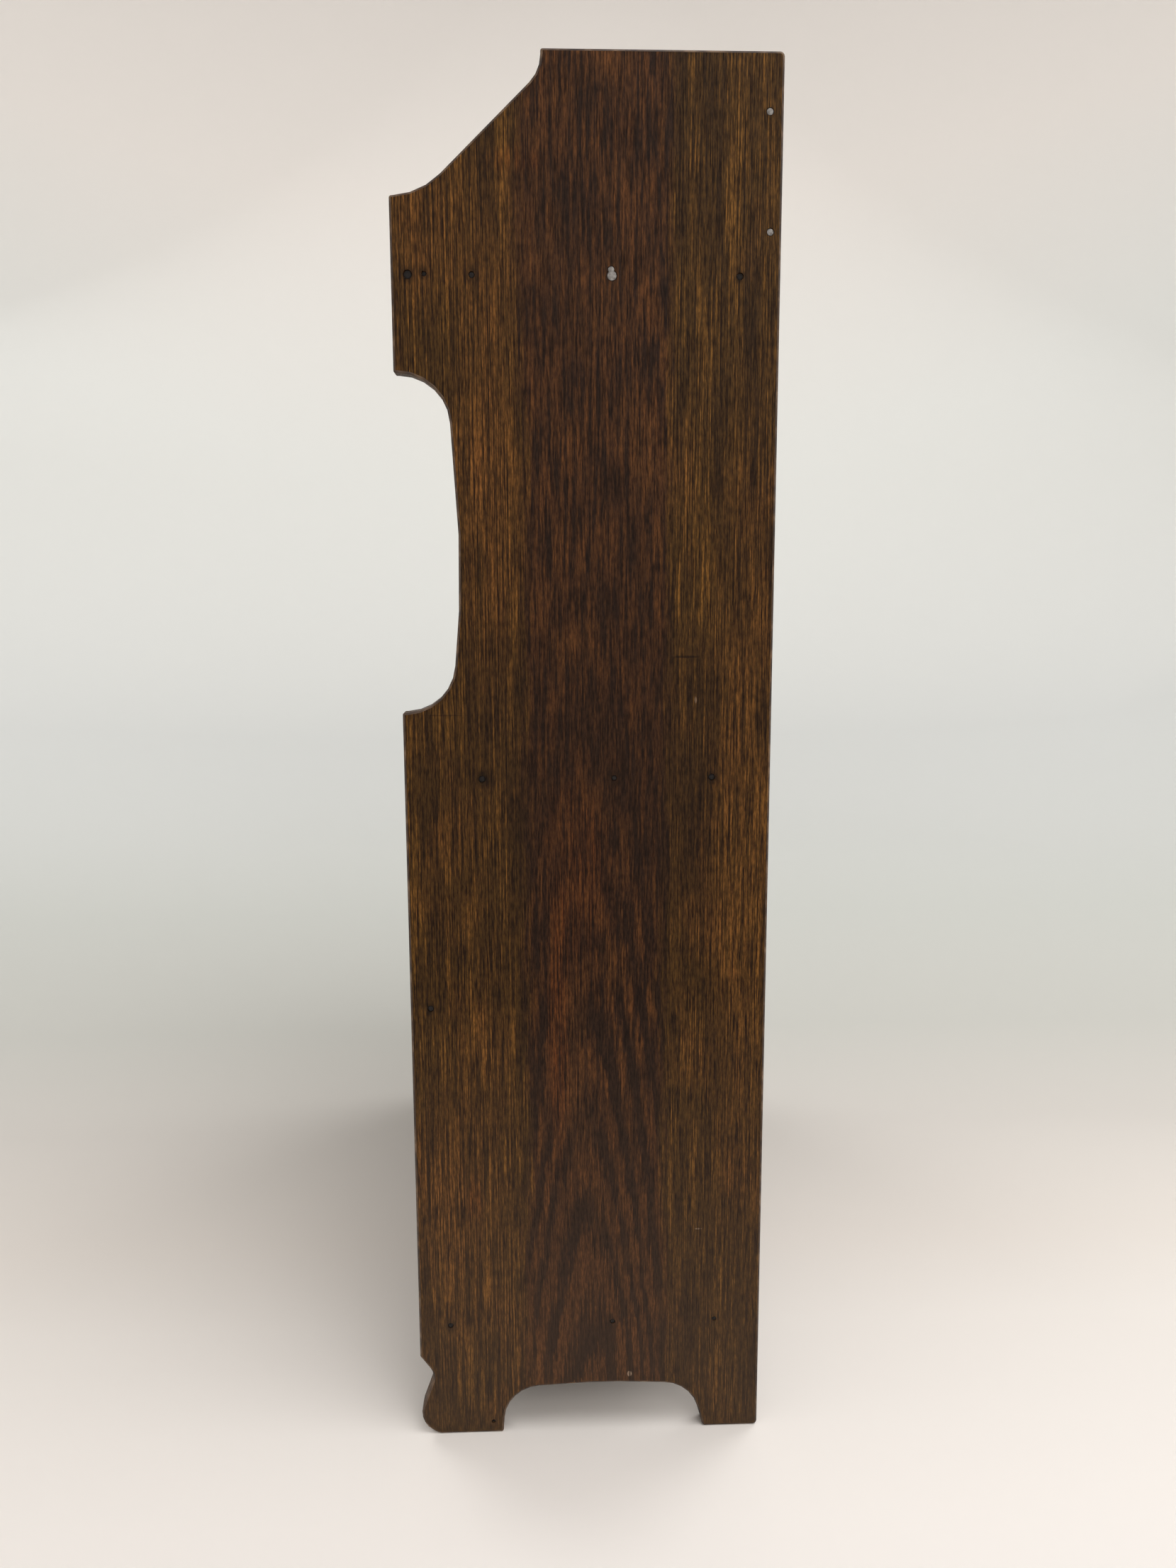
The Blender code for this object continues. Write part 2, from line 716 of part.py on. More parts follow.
def build_hands():
    pipe_bore = ARBOR_R + RUN
    pipe_r = pipe_bore + PIPE_WALL
    minute = hand(
        "minute_hand", bezel_bore - MINUTE_HAND_SHORT, ARBOR_R + FIT, minute_hand_y, "black_steel")
    hour = hand(
        "hour_hand", bezel_bore - HOUR_HAND_SHORT, pipe_r + FIT, hour_hand_y, "black_steel")
    nut = plate(
        "hand_nut", "Y", circle(0, dial_z, NUT_R), [circle(0, dial_z, ARBOR_R + FIT)],
        minute_hand_y - FIT - HAND_T, minute_hand_y - FIT, "brass")
    wheel_y = panel_back + HAND_GAP
    wheel = plate(
        "wheel", "Y", gear(HOUR_WHEEL_TEETH, CENTRE_MODULE, 0, 0, dial_z),
        [circle(0, dial_z, pipe_bore + PIPE_WALL / 2)], wheel_y, wheel_y + HOUR_WHEEL_T, "brass")
    hour_wheel = plate(
        "hour_wheel", "Y", circle(0, dial_z, pipe_r), [circle(0, dial_z, pipe_bore)],
        hour_hand_y, wheel_y + 2 * HOUR_WHEEL_T, "brass")
    combine(hour_wheel, wheel, "UNION")
    return [minute, nut], [hour, hour_wheel]


def build_movement():
    # Plates, pillars, going train and pendulum.
    minute_pieces, hour_pieces = build_hands()
    barrel = (barrel_x, barrel_z)
    escape_z = dial_z + CENTRE_MODULE * (CENTRE_TEETH + ESCAPE_PINION_TEETH) / 2
    anchor_z = escape_z + ANCHOR_RISE
    posts = [(x, dial_z + rise) for x in (-POST_X, POST_X) for rise in (-POST_RISE, POST_RISE)]
    bearings = [
        circle(0, dial_z, ARBOR_R + RUN),
        circle(*barrel, WINDING_R + RUN),
        circle(0, escape_z, ARBOR_R + RUN),
        circle(0, anchor_z, ARBOR_R + RUN),
    ]
    plate(
        "movement_front_plate", "Y",
        rectangle(-PLATE_HALF, dial_z - PLATE_BOTTOM, PLATE_HALF, dial_z + PLATE_TOP),
        [*bearings, *(circle(*place, POST_R + FIT) for place in posts)],
        plate_y, plate_back, "brass")
    window_low = rocker_z - WINDOW_DROP
    window_high = rocker_z + WINDOW_RISE
    windows = [
        board(
            "window", (sign * YOKE_X - YOKE_W, plate_back, window_low),
            (sign * YOKE_X + YOKE_W, gear_y, window_high), "brass")
        for sign in (-1, 1)
    ]
    back_plate = plate(
        "movement_back_plate", "Y",
        rectangle(-BACK_PLATE_HALF, recorder_top + FIT, BACK_PLATE_HALF, dial_z + PLATE_TOP),
        [*bearings, circle(0, type_z, TYPE_ARBOR_R + RUN)],
        rear_plate_y, rear_plate_back, "brass")
    combine(back_plate, group("windows", windows, "brass"), "DIFFERENCE")
    middle = (rear_plate_y + rear_plate_back) / 2
    riveted = [
        rod("pillar", "Y", place, POST_R, panel_back + FIT, middle, "brass") for place in posts
    ]
    for z in (upper_idler_z, lower_idler_z):
        riveted.append(rod("stud", "Y", (0, z), STUD_R, middle, gear_back + STUD_END, "brass"))
    for sign in (-1, 1):
        riveted.append(rod(
            "stud", "Y", (sign * SPOOL_X, type_z), STUD_R, type_y - SPOOL_FLANGE - STUD_END,
            middle, "brass"))
    combine(back_plate, group("riveted", riveted, "brass"), "UNION")

    # Mainspring barrel on its winding arbor
    drum_y = plate_back + DRUM_GAP
    great_y = drum_y + BARREL_L
    great_phase = meshed(CENTRE_PINION_TEETH, BARREL_ANGLE, BARREL_ANGLE, BARREL_TEETH)
    mainspring = plate(
        "mainspring_barrel", "Y", gear(BARREL_TEETH, BARREL_MODULE, great_phase, *barrel), [],
        great_y, great_y + GEAR_T, "brass")
    drum = rod("drum", "Y", barrel, BARREL_R, drum_y, great_y + GEAR_T / 2, "brass", MEDIUM)
    bore = rod(
        "bore", "Y", barrel, WINDING_R + FIT, drum_y - GEAR_T, great_y + 2 * GEAR_T, "brass")
    combine(mainspring, drum, "UNION")
    combine(mainspring, bore, "DIFFERENCE")
    winding = rod(
        "winding_arbor", "Y", barrel, WINDING_R, panel_y, rear_plate_back + WINDING_END, "steel")
    pivot("barrel_axis", (barrel[0], drum_y, barrel[1]), [mainspring, winding])

    # Minute arbor with its pinion, the centre wheel and the time gear
    centre_wheel = rod(
        "centre_wheel", "Y", (0, dial_z), ARBOR_R, minute_hand_y - FIT - HAND_T,
        gear_back + STUD_END, "brass")
    pinion = plate(
        "pinion", "Y", gear(CENTRE_PINION_TEETH, BARREL_MODULE, BARREL_ANGLE, 0, dial_z), [],
        great_y, great_y + GEAR_T, "brass")
    centre_y = great_y + GEAR_T + WHEEL_GAP
    up = math.pi / 2
    wheel = plate(
        "wheel", "Y", gear(CENTRE_TEETH, CENTRE_MODULE, up, 0, dial_z), [],
        centre_y, centre_y + GEAR_T, "brass")
    combine(centre_wheel, group("on_arbor", [pinion, wheel], "brass"), "UNION")
    drive = plate(
        "minute_drive_gear", "Y", gear(DRIVE_TEETH, MODULE, -up, 0, dial_z),
        [circle(0, dial_z, ARBOR_R + FIT)], gear_y, gear_back, "brass")
    pivot("minute_axis", (0, minute_hand_y, dial_z), [*minute_pieces, centre_wheel, drive])
    pivot("hour_axis", (0, hour_hand_y, dial_z), hour_pieces)

    # Escape wheel, anchor and pendulum
    escape_y = plate_back + ESCAPE_GAP
    escape_wheel = rod(
        "escape_wheel", "Y", (0, escape_z), ARBOR_R, plate_y - STUD_END, rear_plate_back + STUD_END,
        "brass")
    escape_phase = meshed(CENTRE_TEETH, up, up, ESCAPE_PINION_TEETH)
    escape_pinion = plate(
        "pinion", "Y", gear(ESCAPE_PINION_TEETH, CENTRE_MODULE, escape_phase, 0, escape_z),
        [], centre_y, centre_y + GEAR_T, "brass")
    escape = plate(
        "wheel", "Y", spur(ESCAPE_TEETH, ESCAPE_R, ESCAPE_TOOTH, 0, escape_z), [],
        escape_y, escape_y + GEAR_T, "brass")
    combine(escape_wheel, group("on_arbor", [escape_pinion, escape], "brass"), "UNION")
    pivot("escape_axis", (0, escape_y, escape_z), [escape_wheel])
    foot_z = anchor_z - ANCHOR_DROP
    top_z = anchor_z + 2 * ANCHOR_BAR
    anchor = plate(
        "anchor", "Y", [
            (-ANCHOR_SPREAD, foot_z), (-ANCHOR_SPREAD + ANCHOR_BAR, foot_z),
            (-2 * ANCHOR_BAR, anchor_z - ANCHOR_BAR), (2 * ANCHOR_BAR, anchor_z - ANCHOR_BAR),
            (ANCHOR_SPREAD - ANCHOR_BAR, foot_z), (ANCHOR_SPREAD, foot_z),
            (2 * ANCHOR_BAR, top_z), (-2 * ANCHOR_BAR, top_z),
        ],
        [], escape_y, escape_y + GEAR_T, "steel")
    pallets = rod(
        "pallet_anchor", "Y", (0, anchor_z), ARBOR_R, plate_y - STUD_END, rod_y + ROD_T + STUD_END,
        "steel")
    combine(pallets, anchor, "UNION")
    bob_z = anchor_z - PENDULUM_L
    pendulum_rod = plate(
        "pendulum_rod", "Y", rounded([
            (u, v, ROD_CORNER)
            for u, v in rectangle(-ROD_W, bob_z - BOB_R, ROD_W, anchor_z + ROD_W)
        ]),
        [circle(0, anchor_z, ARBOR_R + FIT)], rod_y, rod_y + ROD_T, "steel")
    bob_y = rod_y + ROD_T + FIT
    bob = turned("pendulum_bob", [
        (0, bob_y), (BOB_R - EDGE_R / 2, bob_y), (BOB_R, bob_y + EDGE_R / 2),
        (BOB_R / 2, bob_y + BOB_T), (0, bob_y + BOB_T),
    ], (0, bob_z), "brass")
    pivot("pendulum_axis", (0, rod_y, anchor_z), [pallets, pendulum_rod, bob])


def build_time_gears():
    # Idlers, type arbor and type wheels, in mesh from the minute arbor down.
    down = -math.pi / 2
    upper_phase = meshed(DRIVE_TEETH, down, down, IDLER_TEETH)
    lower_phase = meshed(IDLER_TEETH, upper_phase, down, IDLER_TEETH)
    type_phase = meshed(IDLER_TEETH, lower_phase, down, DRIVE_TEETH)
    for name, z, phase in (
        ("upper_idler_gear", upper_idler_z, upper_phase),
        ("lower_idler_gear", lower_idler_z, lower_phase),
    ):
        idler = plate(
            name, "Y", gear(IDLER_TEETH, MODULE, phase, 0, z), [circle(0, z, STUD_R + RUN)],
            gear_y, gear_back, "brass")
        pivot(name + "_axis", (0, gear_y, z), [idler])
    arbor = rod(
        "type_arbor", "Y", (0, type_z), TYPE_ARBOR_R, plate_y - 2 * BRIDGE_LEAD,
        gear_back + STUD_END, "steel")
    drive = plate(
        "gear", "Y", gear(DRIVE_TEETH, MODULE, type_phase, 0, type_z), [], gear_y, gear_back, "steel")
    combine(arbor, drive, "UNION")
    minute = plate(
        "minute_type_wheel", "Y", spur(TYPE_RIDGES[0], TYPE_R, RIDGE_H, 0, type_z),
        [circle(0, type_z, TYPE_ARBOR_R + FIT)], type_y, type_y + TYPE_W, "steel")
    hour = plate(
        "hour_type_wheel", "Y", spur(TYPE_RIDGES[1], TYPE_R, RIDGE_H, 0, type_z),
        [circle(0, type_z, TYPE_ARBOR_R + RUN)], hour_type_y, hour_type_y + TYPE_W, "steel")
    pivot("type_axis", (0, type_y, type_z), [arbor, minute])
    pivot("hour_type_axis", (0, hour_type_y, type_z), [hour])
    plate(
        "type_bridge", "Y",
        rectangle(-BRIDGE_HALF, recorder_top + FIT, BRIDGE_HALF, type_z + BRIDGE_RISE),
        [circle(0, type_z, TYPE_ARBOR_R + RUN)], plate_y - BRIDGE_LEAD, plate_back - BRIDGE_LEAD,
        "cast_iron")


def build_ribbon():
    # Spools on both sides of the type wheels, with the ribbon laid over the wheels.
    low = type_y
    high = type_y + RIBBON_W + 2 * RIBBON_MARGIN
    bore = STUD_R + RUN
    for side, sign in (("right", 1), ("left", -1)):
        spool = turned("ribbon_spool_" + side, [
            (bore, low - SPOOL_FLANGE), (SPOOL_R, low - SPOOL_FLANGE), (SPOOL_R, low),
            (SPOOL_CORE, low), (SPOOL_CORE, high), (SPOOL_R, high),
            (SPOOL_R, high + SPOOL_FLANGE), (bore, high + SPOOL_FLANGE),
        ], (sign * SPOOL_X, type_z), "black_steel")
        pivot("spool_axis_" + side, (sign * SPOOL_X, low, type_z), [spool])
    top = type_z + TYPE_R + FIT
    spool_top = type_z + SPOOL_CORE + FIT
    plate("ink_ribbon", "Y", [
        (-SPOOL_X, spool_top), (-RIBBON_FLAT, top), (RIBBON_FLAT, top), (SPOOL_X, spool_top),
        (SPOOL_X, spool_top + RIBBON_T), (RIBBON_FLAT, top + RIBBON_T),
        (-RIBBON_FLAT, top + RIBBON_T), (-SPOOL_X, spool_top + RIBBON_T),
    ], [], low + RIBBON_MARGIN, low + RIBBON_MARGIN + RIBBON_W, "ribbon")


def build_punch():
    # Lever, rocker shaft and hammer yoke that strikes the card down on the type.
    shaft_low = -YOKE_X - 4 * YOKE_W
    shaft_high = LEVER_X + LEVER_T
    shaft = rod(
        "rocker_shaft", "X", (rocker_y, rocker_z), ROCKER_R, shaft_low, shaft_high, "steel")
    cheeks = []
    stands = (shaft_low + BRACKET_T, YOKE_X + 2 * YOKE_W)
    for x in stands:
        cheeks.append(plate(
            "cheek", "X",
            rectangle(
                rocker_y - BRACKET_HALF, recorder_top + FIT + BRACKET_T / 2,
                rocker_y + BRACKET_HALF, rocker_z + BRACKET_HALF),
            [circle(rocker_y, rocker_z, ROCKER_R + RUN)], x, x + BRACKET_T, "cast_iron"))
    bracket = board(
        "rocker_bracket",
        (stands[0] - BRACKET_T, rocker_y - BRACKET_FOOT, recorder_top + FIT),
        (stands[1] + 2 * BRACKET_T, rocker_y + BRACKET_FOOT, recorder_top + FIT + BRACKET_T),
        "cast_iron")
    combine(bracket, group("cheeks", cheeks, "cast_iron"), "UNION")

    bar_low = card_z + STRIKE + PLATEN_T
    bar_y = type_y + TYPE_W - PLATEN_HALF / 2
    bar_half = YOKE_X + YOKE_W / 2
    hammer = board(
        "print_hammer", (-bar_half, bar_y, bar_low),
        (bar_half, bar_y + PLATEN_HALF, bar_low + HAMMER_H), "cast_iron")
    for sign in (-1, 1):
        low, high = sign * YOKE_X - YOKE_W / 2, sign * YOKE_X + YOKE_W / 2
        arm = board(
            "arm", (low, bar_y + PLATEN_HALF / 2, bar_low),
            (high, rocker_y, rocker_z + LEVER_HALF / 2), "cast_iron")
        boss = rod(
            "boss", "X", (rocker_y, rocker_z), ROCKER_R + HUB_WALL, low - HUB_OVERHANG,
            high + HUB_OVERHANG, "cast_iron")
        combine(hammer, arm, "UNION")
        combine(hammer, boss, "UNION")
    bore = rod(
        "bore", "X", (rocker_y, rocker_z), ROCKER_R + FIT, -bar_half - YOKE_W, bar_half + YOKE_W,
        "cast_iron")
    combine(hammer, bore, "DIFFERENCE")
    platen = board(
        "hammer_platen", (-PLATEN_HALF, bar_y, bar_low - FIT - PLATEN_T),
        (PLATEN_HALF, bar_y + PLATEN_HALF, bar_low - FIT), "rubber")

    tip_y = panel_y - LEVER_REACH
    hub = ROCKER_R + HUB_WALL
    arc = [HUB_ARC * (2 * k / HUB_STEPS - 1) for k in range(HUB_STEPS + 1)]
    outline = [(tip_y, rocker_z - LEVER_HALF)]
    outline += [(rocker_y + hub * math.cos(a), rocker_z + hub * math.sin(a)) for a in arc]
    outline += [(tip_y, rocker_z + LEVER_HALF)]
    lever = plate(
        "punch_lever", "X", outline, [circle(rocker_y, rocker_z, ROCKER_R + FIT)],
        LEVER_X - LEVER_T / 2, LEVER_X + LEVER_T / 2, "black_steel")
    knob_back = tip_y - FIT
    knob = turned("lever_knob", [
        (LEVER_KNOB_R * across, knob_back - LEVER_KNOB_L * along)
        for across, along in LEVER_KNOB_SHAPE
    ], (LEVER_X, rocker_z), "black_plastic")

    coil_r = ROCKER_R + FIT + SPRING_WIRE
    start = -YOKE_X + 2 * YOKE_W
    run = 2 * (YOKE_X - 2 * YOKE_W)
    line_r = coil_r / math.cos(math.pi / SPRING_SIDES)
    count = SPRING_TURNS * SPRING_SIDES
    spring = bpy.data.curves.new("return_spring", "CURVE")
    spring.dimensions = "3D"
    spring.bevel_depth = SPRING_WIRE
    spring.bevel_resolution = 1
    spring.use_fill_caps = True
    line = spring.splines.new("POLY")
    line.points.add(count)
    for k, point in enumerate(line.points):
        angle = k * math.tau / SPRING_SIDES
        point.co = (
            start + run * k / count, rocker_y + line_r * math.cos(angle),
            rocker_z + line_r * math.sin(angle), 1)
    spring.materials.append(finishes["steel"])
    coil = bpy.data.objects.new("return_spring", spring)
    parts.objects.link(coil)
    pivot(
        "punch_axis", (LEVER_X, rocker_y, rocker_z),
        [shaft, hammer, platen, lever, knob])


def build_racks():
    # Stepped pockets between two cheeks, one rack on each side of the clock.
    low_z = recorder_top + FIT
    front = depth(RACK_SETBACK)
    last = POCKETS - 1
    top = low_z + last * POCKET_RISE + POCKET_H + 2 * POCKET_T
    rear = front + POCKETS * POCKET_STEP + 4 * POCKET_T
    for name, sign in (("card_rack_in", -1), ("card_rack_out", 1)):
        middle = sign * (PANEL_HALF + PARTITION_T + RACK_BAY / 2)
        cheeks = []
        pockets = []
        cheek = [
            (front - POCKET_T, low_z), (rear, low_z), (rear, top), (rear - 2 * POCKET_STEP, top),
            (front - POCKET_T, low_z + POCKET_H),
        ]
        for edge in (-1, 1):
            faces = sorted((middle + edge * RACK_HALF, middle + edge * (RACK_HALF - RACK_CHEEK)))
            cheeks.append(plate("cheek", "X", cheek, [], *faces, "oak"))
        inside = RACK_HALF - RACK_CHEEK / 2
        for k in range(POCKETS):
            y = front + k * POCKET_STEP
            z = low_z + POCKET_T + k * POCKET_RISE
            shape = [
                (y, z), (y + POCKET_STEP - FIT, z), (y + POCKET_STEP - FIT, z + POCKET_T),
                (y + POCKET_T, z + POCKET_T), (y + POCKET_T, z + POCKET_H), (y, z + POCKET_H),
            ]
            pockets.append(plate("pocket", "X", shape, [], middle - inside, middle + inside, "oak"))
        combine(group(name, cheeks, "oak"), group(name + "_pockets", pockets, "oak"), "UNION")


def build_drawers():
    # Supply drawer over a deeper one for the filled cards; each slides out to the front.
    bays = (
        ("upper_drawer", divider_top, recorder_z),
        ("lower_drawer", bottom_top, divider_z),
    )
    half = inner_half - DRAWER_GAP
    front_y = depth(DRAWER_SETBACK)
    box_y = front_y + DRAWER_FRONT_T + FIT
    end_y = back_y - DRAWER_BACK_GAP
    for name, low, high in bays:
        bottom, top = low + FIT, high - DRAWER_GAP
        front = board(
            name + "_front", (-half, front_y, bottom), (half, front_y + DRAWER_FRONT_T, top), "oak")
        wall_top = top - DRAWER_SIDE_DROP
        inside = half - DRAWER_WALL
        box = board(name + "_box", (-half, box_y, bottom), (half, end_y, wall_top), "oak")
        hollow = board(
            "hollow", (-inside, box_y + DRAWER_WALL, bottom + DRAWER_FLOOR_T),
            (inside, end_y - DRAWER_WALL, top), "oak")
        combine(box, hollow, "DIFFERENCE")
        knobs = []
        back = front_y - FIT
        for side, sign in (("right", 1), ("left", -1)):
            knobs.append(turned(name + "_knob_" + side, [
                (KNOB_R * across, back - KNOB_L * along) for across, along in KNOB_SHAPE
            ], (sign * KNOB_SPREAD, (bottom + top) / 2), "brass"))
        pivot(name + "_slide", (0, front_y, (bottom + top) / 2), [front, box, *knobs])


def main():
    clear_scene()
    add_finish("oak", (0.07, 0.028, 0.011), 0.5, 0)
    add_finish("brass", (0.62, 0.42, 0.14), 0.32, 1)
    add_finish("steel", (0.48, 0.48, 0.47), 0.35, 1)
    add_finish("black_steel", (0.012, 0.012, 0.014), 0.35, 0.2)
    add_finish("cast_iron", (0.02, 0.02, 0.022), 0.6, 0.6)
    add_finish("enamel", (0.78, 0.74, 0.62), 0.35, 0)
    add_finish("glass", (0.9, 0.95, 0.95), 0.05, 0)
    add_finish("rubber", (0.02, 0.02, 0.02), 0.8, 0)
    add_finish("ribbon", (0.03, 0.015, 0.05), 0.9, 0)
    add_finish("black_plastic", (0.015, 0.013, 0.012), 0.25, 0)
    build_case()
    build_clock_panel()
    build_dial()
    build_movement()
    build_time_gears()
    build_ribbon()
    build_punch()
    build_racks()
    build_drawers()


main()
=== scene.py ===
import json
import math

import bmesh
import bpy
from mathutils import Matrix, Vector
from mathutils.geometry import interpolate_bezier

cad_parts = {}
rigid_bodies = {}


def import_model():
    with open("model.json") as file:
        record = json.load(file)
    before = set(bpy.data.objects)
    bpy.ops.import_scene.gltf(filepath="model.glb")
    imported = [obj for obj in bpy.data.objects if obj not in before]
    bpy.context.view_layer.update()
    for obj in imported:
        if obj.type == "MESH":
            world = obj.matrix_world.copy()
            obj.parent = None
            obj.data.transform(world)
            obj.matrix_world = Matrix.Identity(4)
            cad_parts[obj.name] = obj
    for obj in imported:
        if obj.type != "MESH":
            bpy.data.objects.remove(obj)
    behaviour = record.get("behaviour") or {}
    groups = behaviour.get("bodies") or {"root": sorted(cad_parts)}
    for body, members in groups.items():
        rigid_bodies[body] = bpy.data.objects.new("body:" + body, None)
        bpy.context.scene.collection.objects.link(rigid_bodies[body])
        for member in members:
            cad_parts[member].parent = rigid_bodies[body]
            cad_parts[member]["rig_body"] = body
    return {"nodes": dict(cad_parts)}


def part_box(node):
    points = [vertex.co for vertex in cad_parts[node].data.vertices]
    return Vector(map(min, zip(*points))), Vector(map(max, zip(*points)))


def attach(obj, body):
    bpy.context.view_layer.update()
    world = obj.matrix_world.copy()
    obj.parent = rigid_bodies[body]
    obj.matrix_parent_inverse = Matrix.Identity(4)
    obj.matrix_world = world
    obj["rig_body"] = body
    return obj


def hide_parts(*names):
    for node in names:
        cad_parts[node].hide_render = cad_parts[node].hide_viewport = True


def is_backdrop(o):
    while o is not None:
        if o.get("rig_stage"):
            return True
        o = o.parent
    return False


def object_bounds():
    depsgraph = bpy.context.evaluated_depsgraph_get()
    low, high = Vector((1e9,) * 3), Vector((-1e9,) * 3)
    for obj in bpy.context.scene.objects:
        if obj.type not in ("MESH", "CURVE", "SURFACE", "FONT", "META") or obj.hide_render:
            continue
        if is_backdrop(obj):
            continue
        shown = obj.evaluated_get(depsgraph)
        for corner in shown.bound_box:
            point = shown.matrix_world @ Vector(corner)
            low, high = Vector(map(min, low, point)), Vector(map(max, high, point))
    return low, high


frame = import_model()
nodes = frame["nodes"]
cadLow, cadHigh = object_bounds()
mm = 0.001
tiny = 1e-6
print("frame loaded:", len(nodes), "nodes")


def linear(code):
    # sRGB hex to linear RGBA
    parts = [int(code[k:k + 2], 16) / 255 for k in (1, 3, 5)]
    return (*(c / 12.92 if c <= 0.04045 else ((c + 0.055) / 1.055) ** 2.4 for c in parts), 1.0)


def add(tree, kind, links=None, stops=None, **settings):
    # one node with its settings; links gives each socket a value or another node's output,
    # and stops gives a ramp's (place, grey or hex colour) pairs, its two ends first
    node = tree.nodes.new("ShaderNode" + kind)
    for name, value in settings.items():
        setattr(node, name, value)
    for socket, value in (links or {}).items():
        if isinstance(value, bpy.types.NodeSocket):
            tree.links.new(value, node.inputs[socket])
        else:
            node.inputs[socket].default_value = value
    for k, (place, value) in enumerate(stops or []):
        marks = node.color_ramp.elements
        mark = marks[k] if k < 2 else marks.new(place)
        mark.position = place
        mark.color = linear(value) if isinstance(value, str) else (value, value, value, 1.0)
    return node


def newMaterial(name):
    material = bpy.data.materials.new(name)
    material.use_nodes = True
    return material, material.node_tree, material.node_tree.nodes["Principled BSDF"]


# Flat-sawn oak, planed, fumed dark and oiled: nested arches of open pores run up the middle of a
# board, straight streaks beside them, a satin face, and pale wear where hands and floors rubbed.
oakLook = {
    "ringWidth": 7.5,       # mm between rings on the face
    "ringStops": [          # early wood across one ring
        (0.0, 0.1), (1.0, 0.1), (0.08, 1.0), (0.44, 0.85), (0.6, 0.1),
    ],
    "pithDepth": 20.0,      # mm from the face to the middle of the tree at the foot of the board
    "taper": 0.1,           # how fast the face leaves the middle of the tree
    "inward": 0.6,          # how much depth in the board counts towards the middle of the tree
    "sway": 32.0,           # mm that the rings wander
    "fray": 9.0,            # mm that pores tear the rings' edges
    "archTop": (330.0, 560.0),      # mm along the board over which the arches fade
    "archLeft": 0.35,       # how much of them is left above that
    "heart": 46.0,          # mm, half of the dark middle band
    "heartSoft": 4.0,       # mm, half of the blur at its sides
    "heartLean": 6.0,       # mm that the band lies off the pith line
    "heartFray": 30.0,      # mm that streaks shift the band's sides
    "heartStreaks": (0.42, 0.6),    # where the flame pattern turns from dark to light
    "lowGlow": (60.0, 0.75),        # mm along the board up to which it is all light, and how light
    "fineShare": 0.68,      # how much of the streaks beside the band is fine ones
    "sideStops": (0.42, 0.49, 0.53, 0.6),       # dark, mid, mid and light streaks
    "sideRings": 0.25,      # how far the rings show beside the band
    "wornStreaks": (0.42, 0.62),    # streaks that show wear
    "wornPatches": (0.52, 0.68, 0.5),           # patches that do, and how much at most
    "poreEdges": (0.53, 0.6),
    "poreShare": (0.6, 0.3),        # everywhere, and what early wood adds
    "fleckEdges": (0.4, 0.6),
    "flecks": (0.62, 1.38),         # darkest and palest, times the colour under them
    # share of grey at a board's foot, fading out higher up
    "lowGreyShare": 0.13,
    "roughness": (0.46, 0.7),       # on the face and in a pore
    "specular": 0.08,       # oil has sunk in, so the face shines little
    "ringRelief": 0.3,      # how deep early wood lies beside a pore
    "bump": (0.3, 0.0003),          # strength, and depth in m
    "noiseRoughness": 0.62,
    "patterns": {           # mm across, mm along, detail
        "sway": (75.0, 300.0, 2.5),
        "tear": (1.7, 30.0, 2.0),
        "streak": (1.0, 80.0, 4.0),
        "band": (11.0, 260.0, 4.0),
        "flame": (2.6, 50.0, 5.0),
        "patch": (55.0, 120.0, 3.0),
        "pore": (1.0, 26.0, 1.0),       # real pores are nearer 0.3 mm and would not show
        "fleck": (1.0, 6.0, 2.0),
    },
    "sideDark": "#28190a",
    "sideMid": "#3f2a10",
    "sideLight": "#6a471c",
    "heartDark": "#22150d",
    "heartLight": "#533218",
    "worn": "#764a22",
    "ember": "#7a4218",
    "pore": "#1b1009",
    # grey that a board's foot fades towards
    "lowGrey": "#7c6a5c",
    "stain": "#100905",
    "chip": "#a98f78",
}


